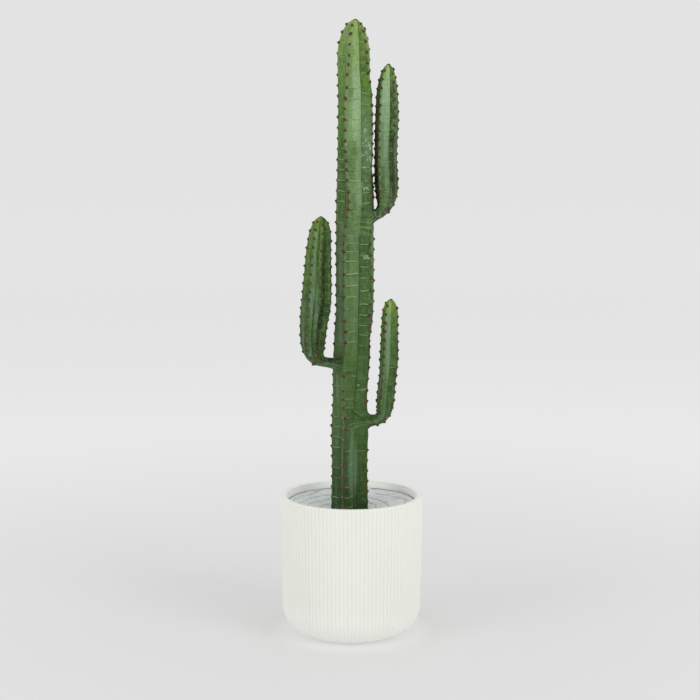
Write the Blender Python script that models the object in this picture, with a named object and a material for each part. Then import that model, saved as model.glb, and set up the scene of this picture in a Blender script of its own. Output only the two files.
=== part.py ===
"""Artificial candelabra cactus in a reeded pot.

Metres, +Z up.  The origin is the middle of the pot's flat underside, and the front faces -Y.
Angles round the plant are in degrees from the front towards +X.
A limb is a star-shaped section swept along a spine that lies in one upright plane.
"""

from math import cos, hypot, pi, radians, sin, sqrt

import bmesh
import bpy
from mathutils import Vector

CLEARANCE = 0.0003             # gap left between neighbouring solids

# Pot: a shell of even thickness with fine upright reeds
POT_HEIGHT = 0.2554
RIM_RADIUS = 0.130
WALL_FOOT_RADIUS = 0.1265      # outside of the wall where the lower corner begins
CORNER_RADIUS = 0.053
WALL = 0.0122
LIP_RADIUS = 0.0025
REEDS = 108
REED_DEPTH = 0.0017
REED_TOP = 0.2515              # reeds are at full depth up to here
REED_END = 0.2535              # and have run out here
REED_CORNER = ((25, 0.4), (47, 1.0), (69, 1.0), (90, 1.0))   # depth's share by angle up the corner
INSIDE_SIDES = 54

# Fill: a plug of pale filler with a dished, rippled top
FILL_EDGE = 0.2430             # height at the wall
FILL_MIDDLE = 0.2275           # height of the flat that the stem stands on
FILL_PAD_RADIUS = 0.043
FILL_RIPPLE = 0.0008
FILL_RIPPLE_PITCH = 0.026
FILL_RIPPLE_SKEW = 0.1         # draws the ripples together towards +X
FILL_RIPPLE_SWIRL = 40         # radians per metre of depth that they are turned by
FILL_RIPPLE_FADE = 6           # they fade over a sixth of the breadth at either edge
FILL_RINGS = 5
FILL_GAP = 1.3 * CLEARANCE     # clear of the wall, also where both slope

# Skin of every limb
RIDGE_POINTS = 4               # section points from one crest to the next on an arm
STEM_RIDGE_POINTS = 6
BULGE = 0.045                  # how far a flank swells, as a share of the crest radius
CREST_SHARPNESS = 1.5          # draws the points of a flank towards its crest
FIRST_ROW = 0.0032             # distance from the tip to the first row of points
ROW_GROWTH = 2.2               # rows draw apart from the tip until they reach the limb's pitch
NUB_RELIEF = 0.0030            # height of a nub over the cut round its crest point
STEM_NUB_REACH = 0.0030        # half the breadth of a nub
ARM_NUB_REACH = 0.0025
NUB_SHOULDER = 0.8             # a nub takes up no more than this share of the next edge
RIB_DRIFT = 0.30               # how far a whole rib's nubs are set off from the row, in rows
RIB_DRIFT_STEP = 2.4
RIB_DRIFT_START = 0.7
NUB_DRIFT = 0.08               # and single nubs besides
NUB_DRIFT_STEP = 1.9
NUB_DRIFT_RIB_STEP = 2.3

# Main stem: (x of the axis, height, crest radius) from the foot up
STEM_SPINE = (
    (-0.0028, FILL_MIDDLE + CLEARANCE, 0.0345),
    (-0.0028, 0.262, 0.0338),
    (-0.0030, 0.320, 0.0329),
    (-0.0029, 0.369, 0.0340),
    (-0.0018, 0.430, 0.0325),
    (-0.0004, 0.489, 0.0337),
    (0.0030, 0.545, 0.0342),
    (0.0065, 0.600, 0.0350),
    (0.0066, 0.695, 0.0350),
    (0.0070, 0.780, 0.0347),
    (0.0075, 0.840, 0.0333),
    (0.0070, 0.900, 0.0318),
    (0.0070, 0.970, 0.0312),
    (0.0060, 1.030, 0.0312),
    (0.0060, 1.070, 0.0308),
    (0.0068, 1.108, 0.0305),
)
STEM_DOME = 0.062
STEM_PITCH = 0.0191
# A rib's angle is a number, or rows of (height, angle) where it wanders
STEM_RIBS = (
    -100,
    ((0.24, -19), (0.32, -21), (0.375, -13), (0.44, -25), (0.54, -24), (0.60, -36), (0.71, -37),
     (0.79, -21), (0.84, -30), (0.89, -37), (0.96, -38), (0.99, -30), (1.05, -19)),
    ((0.24, 70), (0.38, 72), (0.44, 64), (0.50, 70), (0.59, 47), (0.66, 55), (0.72, 50), (0.78, 56),
     (0.83, 51), (0.88, 68), (0.92, 73), (0.97, 67), (1.025, 46), (1.06, 42)),
    ((0.50, 125), (0.58, 112), (0.80, 110), (0.87, 125)),
    190,
)
# Where a valley lies between its crests, as a share of the way, by rib and height
STEM_VALLEYS = (
    0.5,
    ((0.24, 0.44), (0.34, 0.45), (0.44, 0.56), (0.50, 0.60), (0.70, 0.62), (0.82, 0.69), (0.95, 0.66)),
    0.5,
    0.5,
    0.5,
)
STEM_FOLD = 0.24               # how far a valley lies inside the chord between its crests

# Arms: (distance from the pot's axis, height, crest radius) from the stem's middle to the tip
ARMS = {
    "left": dict(
        azimuth=-66,
        spine=((0.010, 0.493, 0.0130), (0.023, 0.4955, 0.0155), (0.033, 0.498, 0.0130),
               (0.043, 0.5005, 0.0108), (0.056, 0.5035, 0.0110), (0.066, 0.5095, 0.0148),
               (0.0725, 0.521, 0.0188), (0.0750, 0.542, 0.0226), (0.0728, 0.578, 0.0252),
               (0.0692, 0.604, 0.0268), (0.0661, 0.643, 0.0255), (0.0643, 0.690, 0.0230),
               (0.0610, 0.728, 0.0205), (0.0591, 0.762, 0.0195)),
        dome=0.040,
        pitch=0.0169,
        ribs=(-85, -30, 15, 75, 150, 210),
        valleys=(0.5, 0.5, 0.5, 0.5, 0.5, 0.5),
        fold=0.21,
        bend_height=0.515,
    ),
    "upper_right": dict(
        azimuth=88,
        spine=((0.010, 0.750, 0.0120), (0.025, 0.7535, 0.0155), (0.035, 0.7575, 0.0138),
               (0.043, 0.7625, 0.0114), (0.051, 0.7690, 0.0113), (0.0575, 0.778, 0.0143),
               (0.0610, 0.790, 0.0183), (0.0622, 0.806, 0.0212), (0.0618, 0.824, 0.0223),
               (0.0606, 0.862, 0.0213), (0.0610, 0.897, 0.0217), (0.0625, 0.935, 0.0219),
               (0.0630, 0.985, 0.0198), (0.0651, 1.0285, 0.0190)),
        dome=0.060,
        pitch=0.0155,
        ribs=(-112, -38, 40, 110, 180),
        valleys=(0.5, 0.75, 0.5, 0.5, 0.5),
        fold=0.24,
        bend_height=0.782,
    ),
    "lower_right": dict(
        azimuth=64,
        spine=((0.010, 0.390, 0.0130), (0.023, 0.392, 0.0182), (0.032, 0.3935, 0.0155),
               (0.041, 0.3950, 0.0114), (0.051, 0.3980, 0.0108), (0.0595, 0.4045, 0.0125),
               (0.0648, 0.416, 0.0152), (0.0668, 0.432, 0.0172), (0.0688, 0.455, 0.0174),
               (0.0718, 0.482, 0.0171), (0.0740, 0.515, 0.0182), (0.0745, 0.548, 0.0170),
               (0.0755, 0.580, 0.0160), (0.0777, 0.616, 0.0156)),
        dome=0.030,
        pitch=0.0158,
        ribs=(-122, -32, 64, 148),
        valleys=(0.5, 0.5, 0.5, 0.5),
        fold=0.19,
        bend_height=0.408,
    ),
}
NECK_TOP = 0.020               # the ribs are full from this far above the bend
NECK_BLEND = 0.030             # height over which they rise out of the plain round neck
NECK_ROUNDNESS = 0.75
NECK_SIZE = 0.9                # radius of the plain neck, as a share of the crest radius
NUB_ROWS_PAST_BEND = 1         # rows of nubs that carry on round the outside of the bend
ROOT_SWELL = 0.001             # how much the stem is swollen to cut the elbows' roots
ROOT_STEPS = 6                 # places down an arm's root that nubs on the stem keep away from
ROOT_STEP = 0.008
NUB_KEEP_OFF = 0.009           # bare skin round an arm's root, beyond its own thickness

# Finishes: colour, roughness
POT_FINISH = ((0.80, 0.81, 0.74), 0.55)
FILL_FINISH = ((0.60, 0.63, 0.62), 0.60)
SKIN_FINISH = ((0.080, 0.170, 0.060), 0.42)


def clear_scene():
    for item in list(bpy.data.objects):
        bpy.data.objects.remove(item, do_unlink=True)


def make_material(name, finish):
    colour, roughness = finish
    material = bpy.data.materials.new(name)
    material.use_nodes = True
    shader = material.node_tree.nodes["Principled BSDF"]
    shader.inputs["Base Color"].default_value = (*colour, 1.0)
    shader.inputs["Roughness"].default_value = roughness
    shader.inputs["Metallic"].default_value = 0.0
    return material


def add_object(name, bm, material, sharp=35):
    """Turn a bmesh into a named object that is shaded smooth except along sharp edges."""
    bmesh.ops.recalc_face_normals(bm, faces=bm.faces)
    mesh = bpy.data.meshes.new(name)
    bm.to_mesh(mesh)
    bm.free()
    mesh.shade_smooth()
    mesh.set_sharp_from_angle(angle=radians(sharp))
    mesh.materials.append(material)
    item = bpy.data.objects.new(name, mesh)
    bpy.context.collection.objects.link(item)
    return item


def add_ring(bm, points):
    return [bm.verts.new(point) for point in points]


def join_rings(bm, lower, upper):
    """A band of quads between two rings that have the same number of points."""
    count = len(lower)
    for i in range(count):
        j = (i + 1) % count
        bm.faces.new((lower[i], lower[j], upper[j], upper[i]))


def cap_ring(bm, ring):
    """Close a ring with a flat fan of triangles round a point in its middle."""
    cap = bm.faces.new(ring)
    bmesh.ops.poke(bm, faces=[cap])


def through(rows, where):
    """Read rows of (place, value) at a place, on a curve with level ends that never overshoots."""
    if where <= rows[0][0]:
        return rows[0][1]
    for (low, before), (high, after) in zip(rows, rows[1:]):
        if where <= high:
            share = (where - low) / (high - low)
            return before + (after - before) * share * share * (3 - 2 * share)
    return rows[-1][1]


def read(rows, where):
    """A number as it is, or rows of (place, value) read at a place."""
    return through(rows, where) if isinstance(rows, tuple) else rows


class Limb:
    """A ribbed limb, read by its distance down the spine from the tip."""

    SAMPLES = 16               # spine points read between two stations

    def __init__(self, azimuth, spine, dome, pitch, ribs, valleys, fold, bend_height=None):
        self.outward = Vector((sin(radians(azimuth)), -cos(radians(azimuth)), 0.0))
        self.sideways = Vector((cos(radians(azimuth)), sin(radians(azimuth)), 0.0))
        self.azimuth = azimuth
        self.dome = dome
        self.pitch = pitch
        self.ribs = ribs
        self.valleys = valleys
        self.fold = fold
        self.trace(spine)
        self.space_rows()
        self.bend_height = bend_height
        self.split = self.row_near(bend_height) if bend_height else None

    def trace(self, spine):
        """Sample a Catmull-Rom curve through the stations, from the tip down to the root."""
        stations = [Vector(station) for station in reversed(spine)]
        stations = [2 * stations[0] - stations[1], *stations, 2 * stations[-1] - stations[-2]]
        self.samples = []
        for a, b, c, d in zip(stations, stations[1:], stations[2:], stations[3:]):
            for i in range(self.SAMPLES):
                t = i / self.SAMPLES
                self.samples.append(0.5 * (2 * b + (c - a) * t + (2 * a - 5 * b + 4 * c - d) * t ** 2
                                           + (3 * b - a - 3 * c + d) * t ** 3))
        self.samples.append(stations[-2])
        self.reach = [0.0]
        for above, below in zip(self.samples, self.samples[1:]):
            step = hypot(below.x - above.x, below.y - above.y)
            self.reach.append(self.reach[-1] + step)
        self.length = self.reach[-1]

    def at(self, depth):
        """Distance from the pot's axis, height and crest radius of the body at a depth."""
        depth = min(max(depth, 0.0), self.length)
        low = 0
        high = len(self.reach) - 1
        while high - low > 1:
            middle = (low + high) // 2
            if self.reach[middle] <= depth:
                low = middle
            else:
                high = middle
        share = (depth - self.reach[low]) / (self.reach[high] - self.reach[low])
        return self.samples[low].lerp(self.samples[high], share)

    def uphill(self, depth, reach=0.003):
        """Unit direction of the spine towards the tip, as (outward part, upward part)."""
        depth = min(depth, self.length)
        above = self.at(depth - reach)
        below = self.at(depth + reach)
        size = hypot(above.x - below.x, above.y - below.y)
        return (above.x - below.x) / size, (above.y - below.y) / size

    def turn_rate(self, depth, reach=0.004):
        """Curvature of the spine."""
        above = self.uphill(depth - reach)
        below = self.uphill(depth + reach)
        return hypot(above[0] - below[0], above[1] - below[1]) / (2 * reach)

    def space_rows(self):
        """Depths of the rows of nubs: close at the tip, then evenly along the outside of a bend."""
        gap = FIRST_ROW
        self.rows = [gap]
        while self.rows[-1] < self.length:
            gap = min(self.pitch, gap * ROW_GROWTH)
            depth = self.rows[-1]
            stretch = 1 + self.turn_rate(depth) * self.at(depth).z
            self.rows.append(depth + gap / stretch)
        scale = self.length / self.rows[-1]
        self.rows = [depth * scale for depth in self.rows]

    def row_depth(self, number):
        """Depth of a row by its number, which need not be whole."""
        number = min(max(number, 0.0), len(self.rows) - 1.0)
        low = min(int(number), len(self.rows) - 2)
        return self.rows[low] + (self.rows[low + 1] - self.rows[low]) * (number - low)

    def row_near(self, height):
        return min(range(len(self.rows)), key=lambda i: abs(self.at(self.rows[i]).y - height))

    def rib_shift(self, rib, number):
        """How far a rib's nubs are set off from the row, in rows, level at the cut ends."""
        rib %= len(self.ribs)
        drift = RIB_DRIFT * sin(RIB_DRIFT_STEP * rib + RIB_DRIFT_START)
        drift += NUB_DRIFT * sin(NUB_DRIFT_STEP * number + NUB_DRIFT_RIB_STEP * rib)
        ends = [number, len(self.rows) - 1 - number]
        if self.split is not None:
            ends.append(abs(number - self.split))
        return drift * min(1.0, *ends)

    def crest_angles(self, height):
        angles = [read(rib, height) for rib in self.ribs]
        angles.append(angles[0] + 360)
        return angles

    def neck_share(self, height):
        """How far the section has turned into a plain round neck."""
        if self.split is None:
            return 0.0
        share = min(max((self.bend_height + NECK_TOP - height) / NECK_BLEND, 0.0), 1.0)
        return NECK_ROUNDNESS * share * share * (3 - 2 * share)

    def section(self, height, points):
        """The star: (outward, sideways, rib number) of each point, with crests at radius 1."""
        angles = self.crest_angles(height)
        crests = []
        for angle in angles:
            turned = radians(angle - self.azimuth)
            crests.append(Vector((cos(turned), sin(turned))))
        plainness = self.neck_share(height)
        star = []
        half = points // 2
        for rib, (crest, following) in enumerate(zip(crests, crests[1:])):
            valley = crest.lerp(following, read(self.valleys[rib], height)) * (1 - self.fold)
            for i in range(points):
                start = crest if i < half else following
                share = min(i, points - i) / half
                flank = start.lerp(valley, share ** CREST_SHARPNESS)
                flank += flank.normalized() * BULGE * 4 * share * (1 - share)
                flank = flank.lerp(flank.normalized() * NECK_SIZE, plainness)
                star.append((flank.x, flank.y, rib + i / points))
        return star

    def point(self, depth, outward, sideways):
        body = self.at(depth)
        out_part, up_part = self.uphill(depth)
        size = body.z
        if depth < self.dome:
            size *= sqrt(1 - (1 - depth / self.dome) ** 2)
        place = self.outward * (body.x + size * outward * up_part)
        place += self.sideways * (size * sideways)
        place.z = body.y - size * outward * out_part
        return place

    def ring(self, number, points):
        """Points of one row.  Each rib's crest sits at its own shifted depth."""
        body = self.at(self.row_depth(number))
        ring = []
        for outward, sideways, rib in self.section(body.y, points):
            whole = int(rib)
            here = self.rib_shift(whole, number)
            ahead = self.rib_shift(whole + 1, number)
            shift = here + (ahead - here) * (rib - whole)
            ring.append(self.point(self.row_depth(number + shift), outward, sideways))
        return ring

    def bears_nub(self, number, point):
        """Every crest bears nubs, but past the bend only those on its outside."""
        if self.split is None or number < self.split:
            return True
        past = number - self.split
        distance = Vector(point).dot(self.outward)
        return 0 < past <= NUB_ROWS_PAST_BEND and distance > self.at(self.rows[number]).x


def limb_mesh(limb, points, first, last, offset=0.0):
    """The rows from first to last as a closed bmesh, and its rings.  Row 0 gets the tip."""
    bm = bmesh.new()
    rings = []
    for number in range(first, last + 1):
        rings.append(add_ring(bm, limb.ring(number, points)))
    for upper, lower in zip(rings, rings[1:]):
        join_rings(bm, lower, upper)
    cap_ring(bm, rings[-1])
    if first == 0:
        tip = bm.verts.new(limb.point(0.0, 0.0, 0.0))
        for i, vert in enumerate(rings[0]):
            bm.faces.new((vert, rings[0][(i + 1) % len(rings[0])], tip))
    else:
        out_part, up_part = limb.uphill(limb.rows[first])
        along = limb.outward * out_part + Vector((0.0, 0.0, up_part))
        for vert in rings[0]:
            vert.co -= along * offset
        cap_ring(bm, rings[0])
    return bm, rings


def raise_nubs(bm, limb, rings, first, points, reach, keep_off=()):
    """Cut a small diamond round each crest point and pull its middle out to a blunt point."""
    for number, ring in enumerate(rings[:-1], first):
        if number == first:
            continue
        for i in range(0, len(ring), points):
            crest = ring[i]
            if not limb.bears_nub(number, crest.co) or not clear_of_roots(crest.co, keep_off):
                continue
            shoulder = min((ring[i - 1].co - crest.co).length, (ring[i + 1].co - crest.co).length)
            size = min(reach, NUB_SHOULDER * shoulder)
            cut = bmesh.ops.bevel(bm, geom=[crest], offset=size, offset_type="OFFSET", segments=1,
                                  profile=0.5, affect="VERTICES", clamp_overlap=True)
            bmesh.ops.poke(bm, faces=cut["faces"], offset=NUB_RELIEF * size / reach,
                           center_mode="MEAN")


def outside_profile():
    """(radius, height, share of the reeds' depth) up the outside of the pot to its lip."""
    middle = WALL_FOOT_RADIUS - CORNER_RADIUS
    rows = [(middle, 0.0, 0.0)]
    for angle, share in REED_CORNER:
        rows.append((middle + CORNER_RADIUS * sin(radians(angle)),
                     CORNER_RADIUS * (1 - cos(radians(angle))), share))
    rows.append((outside_radius(REED_TOP), REED_TOP, 1.0))
    rows.append((RIM_RADIUS, REED_END, 0.0))
    shoulder = LIP_RADIUS * (1 - cos(radians(45)))
    rows.append((RIM_RADIUS - shoulder, POT_HEIGHT - shoulder, 0.0))
    rows.append((RIM_RADIUS - LIP_RADIUS, POT_HEIGHT, 0.0))
    return rows


def outside_radius(height):
    share = (height - CORNER_RADIUS) / (REED_END - CORNER_RADIUS)
    return WALL_FOOT_RADIUS + (RIM_RADIUS - WALL_FOOT_RADIUS) * share


def inside_profile(top, gap):
    """(radius, height) down the inside of the pot, drawn in by a gap, from a top height."""
    middle = WALL_FOOT_RADIUS - CORNER_RADIUS
    corner = CORNER_RADIUS - WALL - gap
    rows = [(outside_radius(top) - WALL - gap, top)]
    for angle in (90, 45, 0):
        rows.append((middle + corner * sin(radians(angle)),
                     CORNER_RADIUS - corner * cos(radians(angle))))
    return rows


def circle(radius, height, sides):
    ring = []
    for i in range(sides):
        angle = 2 * pi * i / sides
        ring.append((radius * sin(angle), -radius * cos(angle), height))
    return ring


def make_pot(material):
    bm = bmesh.new()
    outside = []
    for radius, height, share in outside_profile():
        ring = []
        for i, (x, y, z) in enumerate(circle(radius, height, 2 * REEDS)):
            groove = 1 - REED_DEPTH * share * (i % 2) / radius
            ring.append((x * groove, y * groove, z))
        outside.append(add_ring(bm, ring))
    for lower, upper in zip(outside, outside[1:]):
        join_rings(bm, lower, upper)
    cap_ring(bm, outside[0])
    lip = outside_radius(POT_HEIGHT) - WALL + LIP_RADIUS
    inside = [add_ring(bm, circle(lip, POT_HEIGHT, INSIDE_SIDES))]
    for radius, height in inside_profile(POT_HEIGHT - LIP_RADIUS, 0.0):
        inside.append(add_ring(bm, circle(radius, height, INSIDE_SIDES)))
    for upper, lower in zip(inside, inside[1:]):
        join_rings(bm, upper, lower)
    cap_ring(bm, inside[-1])
    bridge_lip(bm, outside[-1], inside[0])
    return add_object("pot", bm, material)


def bridge_lip(bm, many, few):
    """Join a fine ring to a coarser one whose points line up with every so many of its own."""
    step = len(many) // len(few)
    for i, vert in enumerate(few):
        ahead = few[(i + 1) % len(few)]
        start = i * step
        for k in range(step):
            left = many[start + k]
            right = many[(start + k + 1) % len(many)]
            bm.faces.new((left, right, vert if k < step // 2 else ahead))
        bm.faces.new((vert, many[start + step // 2], ahead))


def fill_height(x, y):
    """Top of the fill: a shallow dish with slow, uneven ripples round its middle."""
    radius = hypot(x, y)
    edge = outside_radius(FILL_EDGE) - WALL
    share = min(max((radius - FILL_PAD_RADIUS) / (edge - FILL_PAD_RADIUS), 0.0), 1.0)
    place = (radius + FILL_RIPPLE_SKEW * x) / FILL_RIPPLE_PITCH
    ripple = sin(2 * pi * place + FILL_RIPPLE_SWIRL * y)
    fade = min(1.0, FILL_RIPPLE_FADE * share, FILL_RIPPLE_FADE * (1 - share))
    return FILL_MIDDLE + (FILL_EDGE - FILL_MIDDLE) * share + FILL_RIPPLE * ripple * fade


def make_fill(material):
    bm = bmesh.new()
    sides = inside_profile(FILL_EDGE, FILL_GAP)
    edge = sides[0][0]
    rings = []
    for i in range(FILL_RINGS + 1):
        radius = FILL_PAD_RADIUS + (edge - FILL_PAD_RADIUS) * i / FILL_RINGS
        points = [(x, y, fill_height(x, y)) for x, y, _ in circle(radius, 0.0, INSIDE_SIDES)]
        rings.append(add_ring(bm, points))
    for radius, height in sides[1:]:
        rings.append(add_ring(bm, circle(radius, height, INSIDE_SIDES)))
    for upper, lower in zip(rings, rings[1:]):
        join_rings(bm, upper, lower)
    cap_ring(bm, rings[0])
    cap_ring(bm, rings[-1])
    return add_object("fill", bm, material)


def clear_of_roots(point, arms):
    """True where a nub on the stem stays off the skin round every arm's root."""
    for arm in arms:
        for step in range(ROOT_STEPS):
            body = arm.at(arm.length - ROOT_STEP * step)
            middle = arm.outward * body.x + Vector((0.0, 0.0, body.y))
            if (point - middle).length < body.z + NUB_KEEP_OFF:
                return False
    return True


def make_stem(stem, arms, material):
    last = len(stem.rows) - 1
    bm, rings = limb_mesh(stem, STEM_RIDGE_POINTS, 0, last)
    raise_nubs(bm, stem, rings, 0, STEM_RIDGE_POINTS, STEM_NUB_REACH, arms)
    return add_object("main_stem", bm, material)


def make_root_cutter(stem_values):
    """The stem without nubs and a little swollen, which cuts the elbows' roots to fit it."""
    swollen = [(x, z, radius + ROOT_SWELL) for x, z, radius in stem_values["spine"]]
    stem = Limb(**{**stem_values, "spine": swollen})
    bm, _ = limb_mesh(stem, STEM_RIDGE_POINTS, 0, len(stem.rows) - 1)
    bmesh.ops.triangulate(bm, faces=bm.faces)
    cutter = add_object("root_cutter", bm, make_material("cutter", SKIN_FINISH))
    cutter.hide_render = True
    cutter.display_type = "WIRE"
    return cutter


def make_arm(name, arm, cutter, material):
    """An arm in two solids, parted by a flat cut across the bend: the elbow and the arm above it."""
    last = len(arm.rows) - 1
    bm, rings = limb_mesh(arm, RIDGE_POINTS, 0, arm.split)
    raise_nubs(bm, arm, rings, 0, RIDGE_POINTS, ARM_NUB_REACH)
    add_object(f"{name}_arm", bm, material)
    bm, rings = limb_mesh(arm, RIDGE_POINTS, arm.split, last, offset=CLEARANCE)
    raise_nubs(bm, arm, rings, arm.split, RIDGE_POINTS, ARM_NUB_REACH)
    bmesh.ops.triangulate(bm, faces=bm.faces)
    elbow = add_object(f"{name}_elbow", bm, material)
    cut = elbow.modifiers.new("root", "BOOLEAN")
    cut.operation = "DIFFERENCE"
    cut.solver = "EXACT"
    cut.object = cutter


def main():
    clear_scene()
    skin = make_material("cactus_skin", SKIN_FINISH)
    make_pot(make_material("pot_ceramic", POT_FINISH))
    make_fill(make_material("fill", FILL_FINISH))
    stem_values = dict(azimuth=90, spine=STEM_SPINE, dome=STEM_DOME, pitch=STEM_PITCH,
                       ribs=STEM_RIBS, valleys=STEM_VALLEYS, fold=STEM_FOLD)
    arms = {name: Limb(**values) for name, values in ARMS.items()}
    make_stem(Limb(**stem_values), arms.values(), skin)
    cutter = make_root_cutter(stem_values)
    for name, arm in arms.items():
        make_arm(name, arm, cutter, skin)


main()
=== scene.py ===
"""Artificial candelabra cactus in a reeded pot: its finished surfaces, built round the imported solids.

Metres, +Z up, in the frame of the solids: the origin is the middle of the pot's underside and the
front faces -Y.  Angles round the plant are in degrees from the front towards +X.
The limbs follow the same rules and stations as their solids, carried to a fine skin.
"""

from math import pi, radians, sin

import bpy
import numpy as np
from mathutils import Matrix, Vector, noise
from mathutils.bvhtree import BVHTree


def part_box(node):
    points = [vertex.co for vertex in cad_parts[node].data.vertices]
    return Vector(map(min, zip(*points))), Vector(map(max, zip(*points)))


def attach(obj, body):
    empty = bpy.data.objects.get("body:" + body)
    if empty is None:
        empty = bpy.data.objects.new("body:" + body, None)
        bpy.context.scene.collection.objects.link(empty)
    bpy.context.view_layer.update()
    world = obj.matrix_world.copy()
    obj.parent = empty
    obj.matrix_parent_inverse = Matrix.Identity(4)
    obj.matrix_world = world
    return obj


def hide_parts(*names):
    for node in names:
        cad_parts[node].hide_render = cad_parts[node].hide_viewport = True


bl_info = {
    "name": "Artificial cactus in a reeded pot",
    "version": (1, 0, 0),
    "blender": (4, 5, 0),
    "location": "View3D > Sidebar > Cactus",
    "description": "Builds a ribbed artificial cactus with its nubs, filler, reeded pot and studio",
    "category": "Add Mesh",
}

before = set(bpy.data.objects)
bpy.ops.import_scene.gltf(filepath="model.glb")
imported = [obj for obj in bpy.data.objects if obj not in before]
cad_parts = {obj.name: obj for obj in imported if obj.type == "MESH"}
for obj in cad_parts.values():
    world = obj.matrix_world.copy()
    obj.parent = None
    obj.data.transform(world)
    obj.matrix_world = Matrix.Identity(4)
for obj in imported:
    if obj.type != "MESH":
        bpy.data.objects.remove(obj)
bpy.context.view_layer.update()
POT_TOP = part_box("pot")[1]
POT_HEIGHT = POT_TOP[2]
RIM_RADIUS = POT_TOP[0]
STEM_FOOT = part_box("main_stem")[0][2]

# Pot
WALL_FOOT_RADIUS = 0.1265      # outside of the wall where the lower corner begins
CORNER_RADIUS = 0.053
WALL = 0.0122
WALL_TOP = 0.2535              # the wall's taper is measured up to here
LIP_RADIUS = 0.0025
REED_START_ANGLES = (8, 48)    # angles up the corner between which the reeds rise out of it
REED_END_ANGLES = (90, 155)    # and round the lip between which they die out
REED_POINTS = 8
REED_SHARPNESS = 2.2
FOOT_SHARES = (0.30, 0.60, 0.85, 0.97)     # radii of the rings under the pot, to its flat's
WALL_RINGS = (CORNER_RADIUS, 0.2515, 9)    # lowest and highest ring of the wall, and their count
UPPER_RINGS = (0.2515, WALL_TOP, 6)        # and those of its uppermost strip
INNER_HEIGHTS = (0.235, 0.200, 0.120, CORNER_RADIUS)
CORNER_STEPS = 17
LIP_STEPS = 8
BOWL_STEPS = 6

# Fill
FILL_EDGE = 0.2430             # height at the wall
FILL_PAD_RADIUS = 0.043
FILL_START = 0.016             # radius of the innermost ring
FILL_RINGS = 74
FILL_CROWDING = 0.85           # draws the rings together towards the wall
FILL_SIDES = 288
FILL_GAP = 0.0004              # kept from the wall, and taken off the top
FILL_SINK = 0.0003             # how far the solid's flat lies below the stem's foot
FILL_CALM = (0.028, 0.050)     # radii between which the ridges grow out of the flat
FILL_CALM_EDGE = (0.93, 1.0)   # shares of the way to the wall between which they lose 0.6 again
FILL_SKIRT = (0.230, 0.150, CORNER_RADIUS)     # heights of the hidden rings down the wall
FILL_CORNER = (60, 30, 0)      # and angles of those round the lower corner
RIDGE_PITCH = 0.021

# Skin of every limb
BULGE = 0.045                  # how far a flank swells, as a share of the crest radius
CREST_ROUND = 0.06             # share of a flank over which its crest is rounded
FIRST_ROW = 0.0032             # distance from the tip to row 0; nubs begin at row 1
ROW_GROWTH = 2.2               # rows draw apart from the tip until they reach the limb's pitch
RINGS_A_ROW = 11
TIP_RINGS = 9
NECK_TOP = 0.020               # the ribs are full from this far above the bend
NECK_BLEND = 0.030             # height over which they rise out of the plain round neck
NECK_FULL_ROUNDNESS = 0.75
NECK_SIZE = 0.9
NUB_ROWS_PAST_BEND = (0.2, 1.5)            # rows past the bend that still bear nubs, outside it
BEND_RATES = (7.0, 20.0)       # spine curvatures between which a bend's wrinkles come in
NUB_KEEP_OFF = 0.013           # bare skin round an arm's root, beyond its own thickness
FLANK_CROWDING = 0.80          # draws a flank's points towards its crest and its valley
PAD_ROWS = 0.24                # how far a crest swells on either side of a nub, in rows
PAD_ACROSS = 0.30              # and down the flank, as a share of it
ROOT_INSET = 0.022             # from a spine's inner end to the stem's skin, along the spine
UNEVEN_SCALE = 38.0            # bumps in the skin to a metre, about
UNEVEN_STRETCH = 0.6           # upwards there are this share as many
RAISE_LIMIT = 0.2              # most that a point is moved, as a share of its ring's radius

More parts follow.
